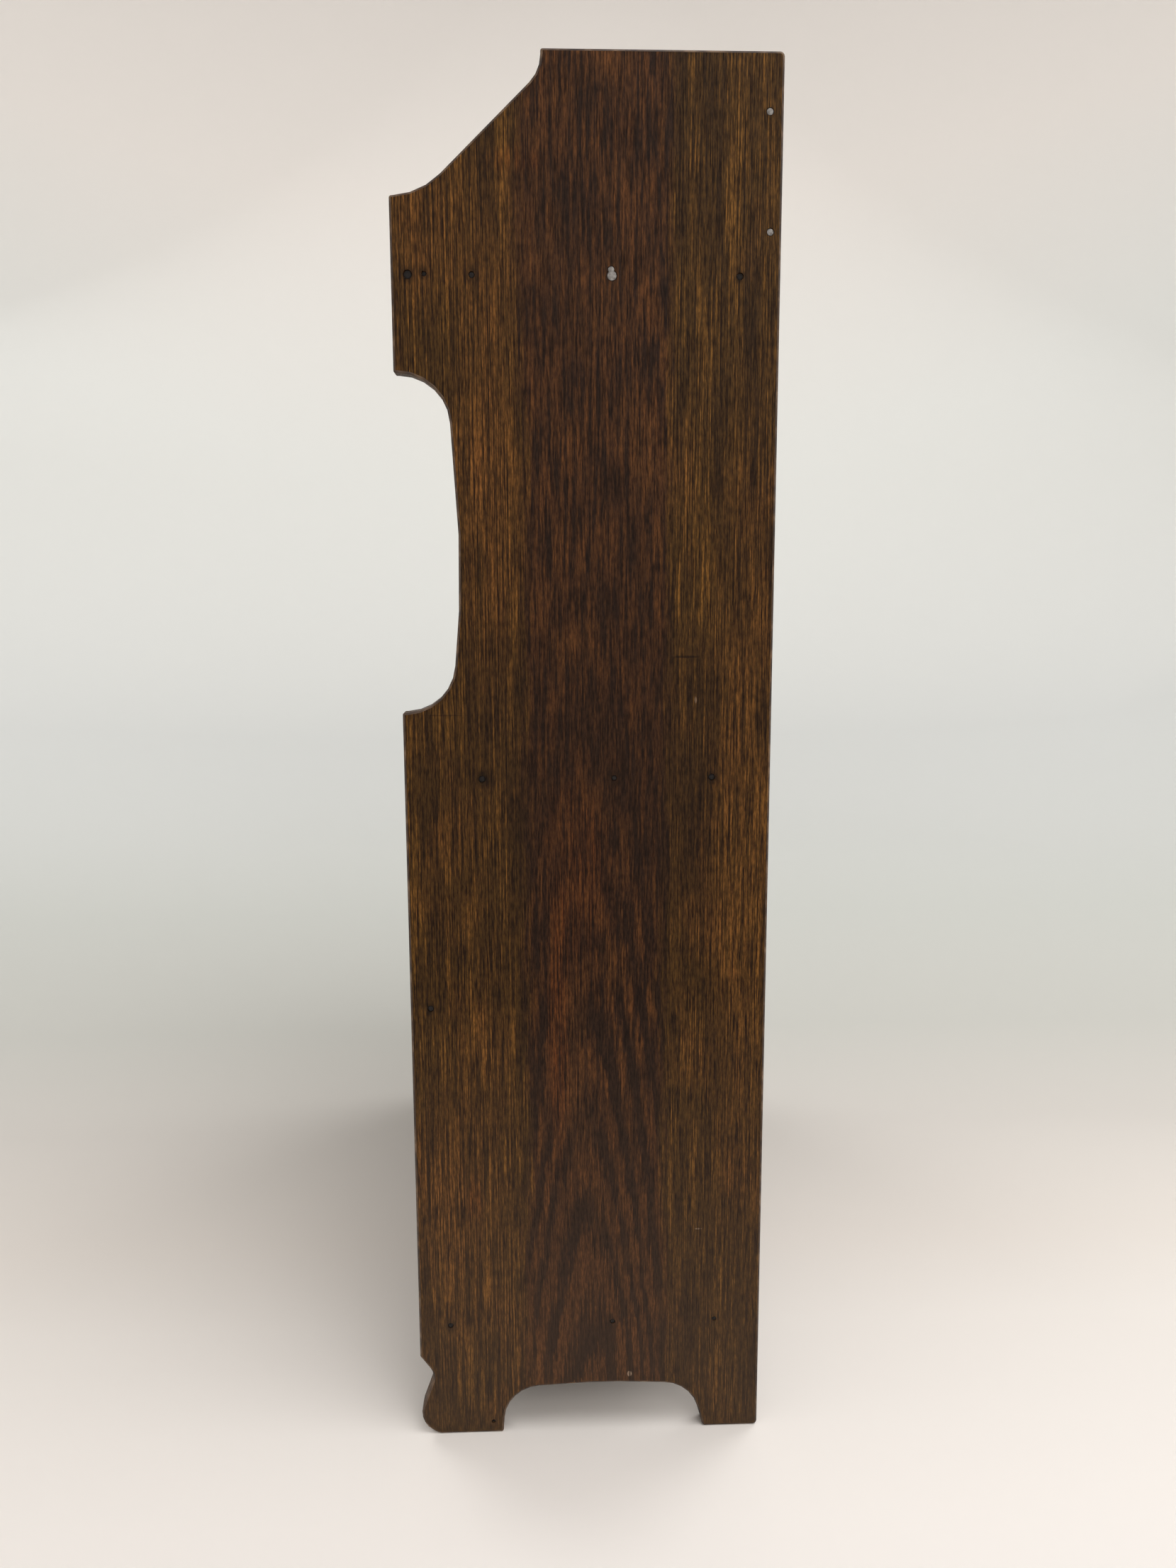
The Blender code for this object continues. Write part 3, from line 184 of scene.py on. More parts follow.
def oak(name, axes, shift, marks=(), greyTop=0.0, look=oakLook):
    # axes name the world axes across, along and through the board; shift puts the pith line at 0
    material, tree, shader = newMaterial(name)
    where = add(tree, "TexCoord")
    split = add(tree, "SeparateXYZ", {0: where.outputs["Object"]})
    board = add(tree, "CombineXYZ", {k: split.outputs[axis] for k, axis in enumerate(axes)})
    inMm = add(tree, "VectorMath", {0: board.outputs[0], "Scale": 1 / mm}, operation="SCALE").outputs[0]
    place = add(tree, "VectorMath", {0: inMm, 1: shift}, operation="ADD").outputs[0]
    alongBoard = add(tree, "SeparateXYZ", {0: place}).outputs[1]
    noise = {}
    for use, (across, along, detail) in look["patterns"].items():
        perMm = (1 / across, 1 / along, 1 / across)
        sized = add(tree, "VectorMath", {0: place, 1: perMm}, operation="MULTIPLY")
        noise[use] = add(tree, "TexNoise", {
            "Vector": sized.outputs[0], "Scale": 1.0, "Detail": detail, "Roughness": look["noiseRoughness"]})
    tear, flame, streak = (noise[use].outputs["Fac"] for use in ("tear", "flame", "streak"))

    # growth rings, cut by the face into arches
    wander = add(
        tree, "VectorMath", {0: noise["sway"].outputs["Color"], 1: (0.5, 0.5, 0.5)}, operation="SUBTRACT")
    bent = add(
        tree, "VectorMath", {0: wander.outputs[0], 1: (look["sway"],) * 3, 2: place},
        operation="MULTIPLY_ADD").outputs[0]
    acrossBent = add(tree, "SeparateXYZ", {0: bent}).outputs[0]
    below = add(
        tree, "VectorMath", {0: bent, 1: (0.0, look["taper"], look["inward"])}, operation="DOT_PRODUCT")
    below = add(tree, "Math", {0: below.outputs["Value"], 1: look["pithDepth"]}, operation="ADD")
    spoke = add(tree, "CombineXYZ", {0: acrossBent, 1: below.outputs[0]})
    radius = add(tree, "VectorMath", {0: spoke.outputs[0]}, operation="LENGTH")
    torn = add(tree, "Math", {0: tear, 1: look["fray"], 2: radius.outputs["Value"]}, operation="MULTIPLY_ADD")
    turns = add(tree, "Math", {0: torn.outputs[0], 1: look["ringWidth"]}, operation="DIVIDE")
    ring = add(tree, "Math", {0: turns.outputs[0]}, operation="FRACT")
    porous = add(tree, "ValToRGB", {0: ring.outputs[0]}, stops=look["ringStops"])
    fadeFrom, fadeTo = look["archTop"]
    archFade = add(tree, "MapRange", {0: alongBoard, 1: fadeFrom, 2: fadeTo, 3: 1.0, 4: look["archLeft"]})
    early = add(
        tree, "Math", {0: porous.outputs[0], 1: archFade.outputs[0]}, operation="MULTIPLY").outputs[0]

    # dark heart band with uneven sides
    fromBand = add(tree, "Math", {0: acrossBent, 1: look["heartLean"]}, operation="SUBTRACT")
    edge = add(tree, "Math", {0: fromBand.outputs[0]}, operation="ABSOLUTE")
    edge = add(tree, "Math", {0: flame, 1: look["heartFray"], 2: edge.outputs[0]}, operation="MULTIPLY_ADD")
    heartEdge = look["heart"] + look["heartFray"] / 2
    heart = add(tree, "MapRange", {
        0: edge.outputs[0], 1: heartEdge - look["heartSoft"], 2: heartEdge + look["heartSoft"],
        3: 1.0, 4: 0.0}).outputs[0]

    # colours of the straight-grained sides and of the heart
    grain = add(tree, "Mix", {0: look["fineShare"], 2: noise["band"].outputs["Fac"], 3: streak})
    dark, midLow, midHigh, light = look["sideStops"]
    sides = add(tree, "ValToRGB", {0: grain.outputs[0]}, stops=[
        (dark, look["sideDark"]), (light, look["sideLight"]),
        (midLow, look["sideMid"]), (midHigh, look["sideMid"])])
    hotFrom, hotTo = look["heartStreaks"]
    hot = add(tree, "MapRange", {0: flame, 1: hotFrom, 2: hotTo}).outputs[0]
    late = add(tree, "Math", {0: 1.0, 1: early}, operation="SUBTRACT")
    glowFoot, glowMost = look["lowGlow"]
    embers = add(tree, "MapRange", {0: alongBoard, 1: glowFoot, 2: fadeFrom, 3: glowMost, 4: 0.0})
    glow = add(tree, "Math", {0: hot, 1: embers.outputs[0]}, operation="MAXIMUM")
    lick = add(tree, "Math", {0: late.outputs[0], 1: glow.outputs[0]}, operation="MULTIPLY")
    middle = add(
        tree, "Mix", {0: lick.outputs[0], 6: linear(look["heartDark"]), 7: linear(look["heartLight"])},
        data_type="RGBA")
    ringShade = add(tree, "Math", {0: early, 1: look["sideRings"]}, operation="MULTIPLY")
    sidesRinged = add(
        tree, "Mix", {0: ringShade.outputs[0], 6: sides.outputs[0], 7: linear(look["sideDark"])},
        data_type="RGBA")
    colour = add(tree, "Mix", {0: heart, 6: sidesRinged.outputs[2], 7: middle.outputs[2]}, data_type="RGBA")

    # warm streaks in patches where the finish has worn thin
    fineFrom, fineTo = look["wornStreaks"]
    fine = add(tree, "MapRange", {0: streak, 1: fineFrom, 2: fineTo}).outputs[0]
    thinFrom, thinTo, thinMost = look["wornPatches"]
    thin = add(
        tree, "MapRange", {0: noise["patch"].outputs["Fac"], 1: thinFrom, 2: thinTo, 3: 0.0, 4: thinMost})
    warm = add(tree, "Math", {0: thin.outputs[0], 1: fine}, operation="MULTIPLY")
    colour = add(
        tree, "Mix", {0: warm.outputs[0], 6: colour.outputs[2], 7: linear(look["worn"])}, data_type="RGBA")

    # marks with frayed edges: warm ones show through the streaks only
    for across, along, halfAcross, halfAlong, soft, strength, tint in marks:
        toMark = add(tree, "VectorMath", {0: inMm, 1: (across, along, 0.0)}, operation="SUBTRACT")
        perMark = (1 / halfAcross, 1 / halfAlong, 0.0)
        flat = add(tree, "VectorMath", {0: toMark.outputs[0], 1: perMark}, operation="MULTIPLY")
        reach = add(tree, "VectorMath", {0: flat.outputs[0]}, operation="LENGTH")
        uneven = add(tree, "Math", {0: tear, 1: soft, 2: reach.outputs["Value"]}, operation="MULTIPLY_ADD")
        ink = add(
            tree, "MapRange", {0: uneven.outputs[0], 1: 1.0 - soft / 2, 2: 1.0 + soft, 3: strength, 4: 0.0},
            interpolation_type="SMOOTHSTEP").outputs[0]
        if tint in ("worn", "ember"):
            ink = add(tree, "Math", {0: ink, 1: fine}, operation="MULTIPLY").outputs[0]
        colour = add(tree, "Mix", {0: ink, 6: colour.outputs[2], 7: linear(look[tint])}, data_type="RGBA")

    # pores: short dark dashes, thickest in the early wood
    dashFrom, dashTo = look["poreEdges"]
    dash = add(tree, "MapRange", {0: noise["pore"].outputs["Fac"], 1: dashFrom, 2: dashTo})
    everywhere, inEarly = look["poreShare"]
    share = add(tree, "Math", {0: early, 1: inEarly, 2: everywhere}, operation="MULTIPLY_ADD")
    pore = add(tree, "Math", {0: dash.outputs[0], 1: share.outputs[0]}, operation="MULTIPLY").outputs[0]
    colour = add(tree, "Mix", {0: pore, 6: colour.outputs[2], 7: linear(look["pore"])}, data_type="RGBA")

    # short flecks, where oil and dirt sit unevenly in the grain
    fleckFrom, fleckTo = look["fleckEdges"]
    darkest, palest = look["flecks"]
    fleck = add(tree, "MapRange", {
        0: noise["fleck"].outputs["Fac"], 1: fleckFrom, 2: fleckTo, 3: darkest, 4: palest})
    colour = add(
        tree, "Mix", {0: 1.0, 6: colour.outputs[2], 7: fleck.outputs[0]}, data_type="RGBA",
        blend_type="MULTIPLY")

    # grey tint that fades up from the floor, strongest at a board's foot
    if greyTop:
        height = add(tree, "SeparateXYZ", {0: inMm}).outputs[1]
        greyed = add(tree, "MapRange", {0: height, 1: 0.0, 2: greyTop, 3: look["lowGreyShare"], 4: 0.0})
        colour = add(
            tree, "Mix", {0: greyed.outputs[0], 6: colour.outputs[2], 7: linear(look["lowGrey"])},
            data_type="RGBA")

    # satin oil, duller in the pores, and the relief of the open grain
    smooth, rough = look["roughness"]
    dull = add(tree, "MapRange", {0: pore, 3: smooth, 4: rough})
    relief = add(tree, "Math", {0: early, 1: look["ringRelief"], 2: pore}, operation="MULTIPLY_ADD")
    strength, deep = look["bump"]
    bump = add(
        tree, "Bump", {"Strength": strength, "Distance": deep, "Height": relief.outputs[0]}, invert=True)
    tree.links.new(colour.outputs[2], shader.inputs["Base Color"])
    tree.links.new(dull.outputs[0], shader.inputs["Roughness"])
    tree.links.new(bump.outputs[0], shader.inputs["Normal"])
    shader.inputs["Specular IOR Level"].default_value = look["specular"]
    return material


# Rubbed oak on corners and edges: finish worn through to paler, drier wood.
rubbedLook = {
    "patch": 9.0,           # mm
    "detail": 4.0,
    "stops": [(0.36, "#2b1c12"), (0.7, "#6b543e"), (0.52, "#44301f")],
    "bump": (0.3, 0.0003),  # strength, and depth in m
    "roughness": 0.6,
}


def rubbedOak(name, look=rubbedLook):
    material, tree, shader = newMaterial(name)
    where = add(tree, "TexCoord").outputs["Object"]
    inMm = add(tree, "VectorMath", {0: where, "Scale": 1 / mm}, operation="SCALE").outputs[0]
    coarse = add(tree, "TexNoise", {"Vector": inMm, "Scale": 1 / look["patch"], "Detail": look["detail"]})
    rub = add(tree, "ValToRGB", {0: coarse.outputs["Fac"]}, stops=look["stops"])
    strength, deep = look["bump"]
    bump = add(tree, "Bump", {"Strength": strength, "Distance": deep, "Height": coarse.outputs["Fac"]})
    tree.links.new(rub.outputs[0], shader.inputs["Base Color"])
    tree.links.new(bump.outputs[0], shader.inputs["Normal"])
    shader.inputs["Roughness"].default_value = look["roughness"]
    return material


# One maker for the plainer finishes: a base and a second colour in cloudy patches, with fine relief.
cloudLook = {
    "detail": 5.0,
    "noiseRoughness": 0.6,
    "tints": (0.36, 0.66),  # where the pattern has the base colour and the second one
    "sheen": (0.3, 0.7),    # where it is least and most rough
    "reliefDetail": 2.0,
    "bump": (0.25, 0.0002),         # strength, and depth in m
}


def cloudy(name, base, second, patchMm, roughness, spread, metallic=0.0, reliefMm=0.0, brushed=(1, 1, 1)):
    material, tree, shader = newMaterial(name)
    where = add(tree, "TexCoord").outputs["Object"]
    inMm = add(tree, "VectorMath", {0: where, "Scale": 1 / mm}, operation="SCALE").outputs[0]
    perPatch = tuple(1 / (patchMm * stretch) for stretch in brushed)
    size = add(tree, "VectorMath", {0: inMm, 1: perPatch}, operation="MULTIPLY")
    cloud = add(tree, "TexNoise", {
        "Vector": size.outputs[0], "Scale": 1.0, "Detail": cloudLook["detail"],
        "Roughness": cloudLook["noiseRoughness"]}).outputs["Fac"]
    baseAt, secondAt = cloudLook["tints"]
    tint = add(tree, "ValToRGB", {0: cloud}, stops=[(baseAt, base), (secondAt, second)])
    sleekAt, roughAt = cloudLook["sheen"]
    sheen = add(tree, "MapRange", {0: cloud, 1: sleekAt, 2: roughAt, 3: roughness, 4: roughness + spread})
    tree.links.new(tint.outputs[0], shader.inputs["Base Color"])
    tree.links.new(sheen.outputs[0], shader.inputs["Roughness"])
    shader.inputs["Metallic"].default_value = metallic
    if reliefMm:
        grit = add(
            tree, "TexNoise", {"Vector": inMm, "Scale": 1 / reliefMm, "Detail": cloudLook["reliefDetail"]})
        strength, deep = cloudLook["bump"]
        bump = add(tree, "Bump", {"Strength": strength, "Distance": deep, "Height": grit.outputs["Fac"]})
        tree.links.new(bump.outputs[0], shader.inputs["Normal"])
    return material


# yellow, brown in patches
agedBrass = cloudy(
    "brassAged", "#b08a45", "#7d5d2c", patchMm=14, roughness=0.26, spread=0.22, metallic=1.0, reliefMm=1.2)
# grey with grinding lines
groundSteel = cloudy(
    "steelGround", "#8e8d8a", "#6f6e6c", patchMm=6, roughness=0.3, spread=0.15,
    metallic=1.0, brushed=(1, 8, 1))
# black baked lacquer, thinly clouded
japannedSteel = cloudy("steelJapanned", "#141416", "#1f1e20", patchMm=9, roughness=0.28, spread=0.2)
# sandy black casting
castIron = cloudy(
    "ironCastBlack", "#191a1c", "#2a2928", patchMm=5, roughness=0.55, spread=0.15, reliefMm=0.8)
# fired glass on copper, yellowed in clouds
creamEnamel = cloudy("enamelCream", "#e6dcc2", "#d8caa8", patchMm=30, roughness=0.22, spread=0.1)
# fired dial black
blackEnamel = cloudy("enamelBlack", "#15130f", "#1d1a15", patchMm=8, roughness=0.3, spread=0.1)
# matt black, bloomed
platenRubber = cloudy(
    "rubberMoulded", "#1a1918", "#262423", patchMm=7, roughness=0.7, spread=0.15, reliefMm=0.6)
# violet-black woven tape
inkedRibbon = cloudy(
    "ribbonInkedCotton", "#120f1c", "#221d2c", patchMm=4, roughness=0.85, spread=0.1, reliefMm=0.5)
# brown-black polished moulding
bakelite = cloudy("phenolicMoulded", "#15100d", "#251a13", patchMm=12, roughness=0.16, spread=0.08)
# grey head rubbed bright
wornNail = cloudy(
    "ironNailWorn", "#8c8884", "#5d5854", patchMm=1.6, roughness=0.45, spread=0.2,
    metallic=0.4, reliefMm=0.7)
# near-black head, brown with rust
rustyNail = cloudy(
    "ironNailRusted", "#0a0604", "#160d08", patchMm=1.6, roughness=0.85, spread=0.1, reliefMm=0.7)
# clear drawn sheet, a faint green cast
glassLook = {"Base Color": linear("#eef4ef"), "Roughness": 0.03, "IOR": 1.52, "Alpha": 0.12}
sash, _, sashShader = newMaterial("glassSheet")
for socket, value in glassLook.items():
    sashShader.inputs[socket].default_value = value
print("finishes made")


def finishMesh(name, bm, materials, body, smooth=35, weighted=False):
    # turns built faces into a piece that rides on a body
    bmesh.ops.recalc_face_normals(bm, faces=bm.faces)
    mesh = bpy.data.meshes.new(name)
    bm.to_mesh(mesh)
    bm.free()
    for material in materials:
        mesh.materials.append(material)
    mesh.shade_smooth()
    mesh.set_sharp_from_angle(angle=math.radians(smooth))
    piece = bpy.data.objects.new(name, mesh)
    bpy.context.scene.collection.objects.link(piece)
    if weighted:
        even = piece.modifiers.new("evenShading", "WEIGHTED_NORMAL")
        even.keep_sharp = True
    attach(piece, body)
    return piece


def lathe(bm, profile, centre, axis, steps=64):
    # turns a closed profile of (radius, place along the axis), in mm, about a line through centre
    quarter = math.pi / 2
    turn = {
        "X": Matrix.Rotation(quarter, 4, "Y"), "Y": Matrix.Rotation(-quarter, 4, "X"), "Z": Matrix()}[axis]
    spot = Matrix.Translation(Vector(centre)) @ turn
    rings = []
    for radius, along in profile:
        if radius < tiny:
            rings.append([bm.verts.new(spot @ Vector((0, 0, along * mm)))])
            continue
        ring = []
        for k in range(steps):
            a = k * math.tau / steps
            ring.append(bm.verts.new(spot @ Vector((
                radius * mm * math.cos(a), radius * mm * math.sin(a), along * mm))))
        rings.append(ring)
    closed = profile[0][0] > tiny and profile[-1][0] > tiny
    for first, second in zip(rings, rings[1:] + (rings[:1] if closed else [])):
        for k in range(steps):
            ahead = (k + 1) % steps
            if len(first) == 1 and len(second) > 1:
                bm.faces.new((first[0], second[k], second[ahead]))
            elif len(second) == 1 and len(first) > 1:
                bm.faces.new((first[k], second[0], first[ahead]))
            elif len(first) > 1:
                bm.faces.new((first[k], second[k], second[ahead], first[ahead]))


def traced(strokes, steps=9):
    # outline from strokes: four points make a curve, drawn out by the middle two, and others straight lines
    points = []
    for stroke in strokes:
        if len(stroke) == 4:
            knots = [Vector((u, v, 0.0)) for u, v in stroke]
            stroke = [p.to_2d() for p in interpolate_bezier(*knots, steps)]
        for u, v in stroke:
            if not points or math.dist(points[-1], (u, v)) > tiny:
                points.append((u, v))
    return points


def slab(bm, outline, low, high, lay):
    # flat outline given thickness; lay turns (u, v, depth) into a point
    front = [bm.verts.new(lay(u, v, low)) for u, v in outline]
    back = [bm.verts.new(lay(u, v, high)) for u, v in outline]
    bm.faces.new(front)
    bm.faces.new(back[::-1])
    for k in range(len(outline)):
        ahead = (k + 1) % len(outline)
        bm.faces.new((front[k], back[k], back[ahead], front[ahead]))


def cutWith(piece, bm, body):
    # sinks holes in a piece with a throwaway cutter
    bmesh.ops.recalc_face_normals(bm, faces=bm.faces)
    mesh = bpy.data.meshes.new("holes")
    bm.to_mesh(mesh)
    bm.free()
    cutter = bpy.data.objects.new("holes", mesh)
    bpy.context.scene.collection.objects.link(cutter)
    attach(cutter, body)
    sink = piece.modifiers.new("holes", "BOOLEAN")
    sink.object = cutter
    sink.operation = "DIFFERENCE"
    sink.solver = "EXACT"
    sink.use_self = True
    bpy.context.view_layer.update()
    solid = bpy.data.meshes.new_from_object(piece.evaluated_get(bpy.context.evaluated_depsgraph_get()))
    piece.modifiers.remove(sink)
    piece.data = solid
    bpy.data.objects.remove(cutter)


edgeLook = {
    "weld": 0.01,           # mm
    "flat": 1.0,            # degrees up to which two faces are one
    "sharp": 40.0,          # degrees from which an edge is rounded
}


def softened(name, materials, roundMm, steps, smooth=32):
    # copy of a CAD board with rounded, rubbed edges, which stands for the node
    bm = bmesh.new()
    bm.from_mesh(nodes[name].data)
    bmesh.ops.remove_doubles(bm, verts=bm.verts, dist=edgeLook["weld"] * mm)
    bmesh.ops.dissolve_limit(
        bm, angle_limit=math.radians(edgeLook["flat"]), verts=bm.verts, edges=bm.edges)
    for face in bm.faces:
        face.material_index = 0
    least = math.radians(edgeLook["sharp"])
    sharp = [e for e in bm.edges if len(e.link_faces) == 2 and e.calc_face_angle() > least]
    bmesh.ops.bevel(
        bm, geom=sharp, offset=roundMm * mm, segments=steps, profile=0.5, affect="EDGES",
        clamp_overlap=True, material=len(materials) - 1)
    piece = finishMesh(name + "_faced", bm, materials, nodes[name]["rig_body"], smooth, weighted=True)
    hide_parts(name)
    return piece


# Sides: nail rows as the boards behind them need, and the wear seen on them
sideLook = {
    "round": 1.7,           # mm, worn corner
    "roundSteps": 4,
    "around": 20,           # faces round a nail
    "pithLine": 118.0,      # mm back from the front edge
    "mirrorShift": 74.0,    # mm, so that the left side isn't cut from the same stretch of the tree
    "greyTop": 330.0,       # mm up to which the grey tint reaches
    "headProfile": [        # share of the head's radius, mm below its face
        (0.0, 0.0), (0.55, 0.05), (0.92, 0.22), (1.0, 0.5), (0.9, 1.6), (0.0, 1.6),
    ],
    "sunk": {"bright": 0.12, "rust": 0.3, "pit": 0.9},      # mm from the wood to the head
    "pit": [                # mm wider than the head, mm out from the wood
        (0.25, -1.4), (0.35, 1.0),
    ],
    "nails": [              # mm back, mm up, head radius, how it looks
        (231.5, 881.0, 2.1, "bright"), (233.0, 812.0, 2.1, "bright"), (135.5, 786.0, 3.0, "bright"),
        (135.0, 789.5, 2.0, "bright"), (214.7, 786.0, 2.0, "pit"), (10.3, 786.0, 2.5, "pit"),
        (20.3, 786.5, 1.4, "pit"), (49.4, 786.0, 1.7, "rust"), (50.5, 473.0, 2.1, "pit"),
        (137.0, 473.0, 1.6, "rust"), (201.3, 473.0, 2.0, "pit"), (13.5, 317.0, 1.9, "rust"),
        (22.0, 84.0, 1.7, "rust"), (136.0, 84.0, 1.5, "rust"), (208.0, 84.0, 1.4, "rust"),
        (51.0, 8.6, 1.2, "pit"),
    ],
    "marks": [              # mm back, mm up, half width, half height, softness, strength, tint
        (58.0, 655.0, 24.0, 130.0, 0.7, 0.55, "worn"), (222.0, 440.0, 22.0, 260.0, 0.7, 0.4, "worn"),
        (55.0, 800.0, 26.0, 60.0, 0.7, 0.3, "worn"), (112.0, 480.0, 110.0, 110.0, 0.9, 0.4, "heartDark"),
        (100.0, 800.0, 30.0, 80.0, 0.9, 0.45, "heartDark"),
        (140.0, 640.0, 26.0, 90.0, 0.9, 0.35, "heartDark"),
        (100.0, 335.0, 24.0, 60.0, 0.9, 0.35, "heartDark"),
        (182.0, 70.0, 24.0, 50.0, 0.9, 0.4, "heartDark"),
        (182.0, 440.0, 24.0, 120.0, 0.9, 0.3, "heartDark"), (20.0, 820.0, 22.0, 50.0, 0.8, 0.45, "worn"),
        (20.0, 165.0, 22.0, 80.0, 0.8, 0.45, "worn"), (40.0, 190.0, 30.0, 110.0, 0.8, 0.3, "worn"),
        (112.0, 275.0, 9.0, 70.0, 0.8, 0.3, "worn"), (99.0, 300.0, 7.0, 90.0, 0.8, 0.55, "ember"),
        (112.0, 410.0, 20.0, 60.0, 0.9, 0.35, "ember"), (40.0, 180.0, 5.0, 15.0, 0.8, 0.5, "ember"),
        (75.0, 852.0, 16.0, 8.0, 0.9, 0.35, "ember"), (10.3, 786.0, 5.0, 6.0, 0.5, 0.6, "stain"),
        (20.3, 786.5, 3.5, 4.5, 0.5, 0.5, "stain"), (49.4, 786.0, 5.5, 7.0, 0.5, 0.45, "stain"),
        (135.5, 786.0, 4.5, 5.0, 0.5, 0.3, "stain"), (214.7, 786.0, 4.0, 5.0, 0.5, 0.5, "stain"),
        (50.5, 473.0, 5.0, 6.0, 0.5, 0.6, "stain"), (56.0, 472.0, 4.0, 5.0, 0.5, 0.4, "stain"),
        (137.0, 473.0, 6.0, 9.0, 0.5, 0.45, "stain"), (201.3, 473.0, 4.5, 5.5, 0.5, 0.65, "stain"),
        (13.5, 317.0, 3.5, 4.5, 0.5, 0.5, "stain"), (22.0, 84.0, 4.0, 5.0, 0.5, 0.45, "stain"),
        (136.0, 84.0, 5.0, 6.0, 0.5, 0.4, "stain"), (208.0, 84.0, 4.0, 5.0, 0.5, 0.3, "stain"),
        (127.0, 894.0, 2.5, 3.5, 0.5, 0.5, "stain"), (183.5, 552.0, 9.0, 0.9, 0.4, 0.7, "stain"),
        (27.0, 515.0, 13.0, 0.6, 0.4, 0.4, "stain"), (148.0, 43.0, 1.6, 2.2, 0.4, 0.7, "chip"),
        (52.0, 271.0, 0.9, 0.9, 0.4, 0.7, "worn"), (196.0, 153.0, 2.4, 0.6, 0.4, 0.35, "chip"),
        (190.0, 524.0, 0.7, 2.2, 0.4, 0.35, "chip"),
    ],
}
halfDepth = cadHigh.y / mm
sideFace = cadHigh.x / mm
edgeOak = rubbedOak("oakRubbed")
for side, sign in (("right", 1), ("left", -1)):
    marks = [(back - halfDepth, *rest) for back, *rest in sideLook["marks"]]
    shift = (halfDepth - sideLook["pithLine"], sideLook["mirrorShift"] * (1 - sign) / 2, -sideFace * sign)
    sideOak = oak("oakSide" + side.title(), "YZX", shift, marks, sideLook["greyTop"])
    panel = softened(
        "side_panel_" + side, [sideOak, edgeOak], sideLook["round"], sideLook["roundSteps"])
    pits = bmesh.new()
    heads = {"bright": bmesh.new(), "rust": bmesh.new(), "pit": bmesh.new()}
    for back, height, radius, kind in sideLook["nails"]:
        spot = (0.0, (back - halfDepth) * mm, height * mm)
        (tight, deep), (loose, out) = sideLook["pit"]
        pitFoot, pitTop = sign * (sideFace + deep), sign * (sideFace + out)
        lathe(pits, [(0.0, pitFoot), (radius + tight, pitFoot), (radius + loose, pitTop), (0.0, pitTop)],
              spot, "X", sideLook["around"])
        face = sideFace - sideLook["sunk"][kind]
        profile = [(radius * share, sign * (face - down)) for share, down in sideLook["headProfile"]]
        lathe(heads[kind], profile, spot, "X", sideLook["around"])
    cutWith(panel, pits, "case")
    for kind, bm in heads.items():
        finish = wornNail if kind == "bright" else rustyNail
        finishMesh("nails_" + kind + "_" + side, bm, [finish], "case")
print("sides dressed")


# Other boards: which way their grain runs, and where the pith line lies
boardLook = {
    "round": 1.0,           # mm, eased edge
    "roundSteps": 2,
    "rackRound": 0.3,
    "panelRound": 0.6,
    "stretch": 137.0,       # mm along the tree from one board to the next
    "start": {"across": 400.0, "deep": 200.0},          # mm up the tree
    "offPith": {"across": -9.0, "upright": 15.0},       # mm from a board's middle to its pith line
    "panelShift": (20.0, -410.0, 42.0),
    "across": [             # grain from side to side
        "gallery_shelf", "recorder_shelf", "bottom_board", "divider_rail", "gallery_back_rail",
        "plinth_rail", "upper_drawer_front", "lower_drawer_front", "upper_drawer_box", "lower_drawer_box",
    ],
    "upright": ["partition_right", "partition_left", "back_panel", "card_rack_in", "card_rack_out"],
    "deep": ["drawer_runner_right", "drawer_runner_left"],
}
for k, name in enumerate(boardLook["across"] + boardLook["upright"] + boardLook["deep"]):
    low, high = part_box(name)
    middle = (low + high) / 2 / mm
    turn = boardLook["stretch"] * k
    if name in boardLook["across"]:
        lying = high.y - low.y > high.z - low.z
        axes = "YXZ" if lying else "ZXY"
        shift = (
            boardLook["offPith"]["across"] - (middle.y if lying else middle.z),
            boardLook["start"]["across"] + turn, -(middle.z if lying else low.y / mm))
    elif name in boardLook["upright"]:
        facing = high.x - low.x > high.y - low.y
        axes = "XZY" if facing else "YZX"
        shift = (
            boardLook["offPith"]["upright"] - (middle.x if facing else middle.y), turn,
            -(low.y / mm if facing else middle.x))
    else:
        axes, shift = "XYZ", (-middle.x, boardLook["start"]["deep"] + turn, -middle.z)
    roundMm = boardLook["rackRound"] if "rack" in name else boardLook["round"]
    boardOak = oak("oak_" + name, axes, shift)
    board = softened(name, [boardOak, edgeOak], roundMm, boardLook["roundSteps"])
    if name == "back_panel":
        backPanel = board
panelOak = oak("oak_clock_panel", "XZY", boardLook["panelShift"])
softened("clock_panel", [panelOak, edgeOak], boardLook["panelRound"], boardLook["roundSteps"])

# Back: five boards with chamfered seams, nailed at top and bottom
backLook = {
    "boards": 5,
    "seam": (3.6, 2.4),     # mm, width and depth
    "nailUp": 12.0,         # mm from the panel's ends
    "nailIn": 0.25,         # share of a board's width from its edge
    "headR": 1.9,           # mm
    "headDeep": 1.2,
    "headCrown": 0.1,
    "around": 18,           # faces round a nail
}
low, high = (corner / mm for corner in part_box("back_panel"))
boardWide = (high.x - low.x) / backLook["boards"]
wide, deep = backLook["seam"]
seams, heads = bmesh.new(), bmesh.new()
for k in range(backLook["boards"]):
    edge = low.x + boardWide * k
    if k:
        slab(seams, [(edge - wide, high.y + deep), (edge + wide, high.y + deep), (edge, high.y - deep)],
             low.z - wide, high.z + wide, lambda u, v, w: Vector((u, v, w)) * mm)
    for share in (backLook["nailIn"], 1 - backLook["nailIn"]):
        for z in (low.z + backLook["nailUp"], high.z - backLook["nailUp"]):
            radius, bottom = backLook["headR"], high.y - backLook["headDeep"]
            crown = high.y + backLook["headCrown"]
            lathe(heads, [(0.0, bottom), (radius, bottom), (radius, high.y), (0.0, crown)],
                  ((edge + boardWide * share) * mm, 0.0, z * mm), "Y", backLook["around"])
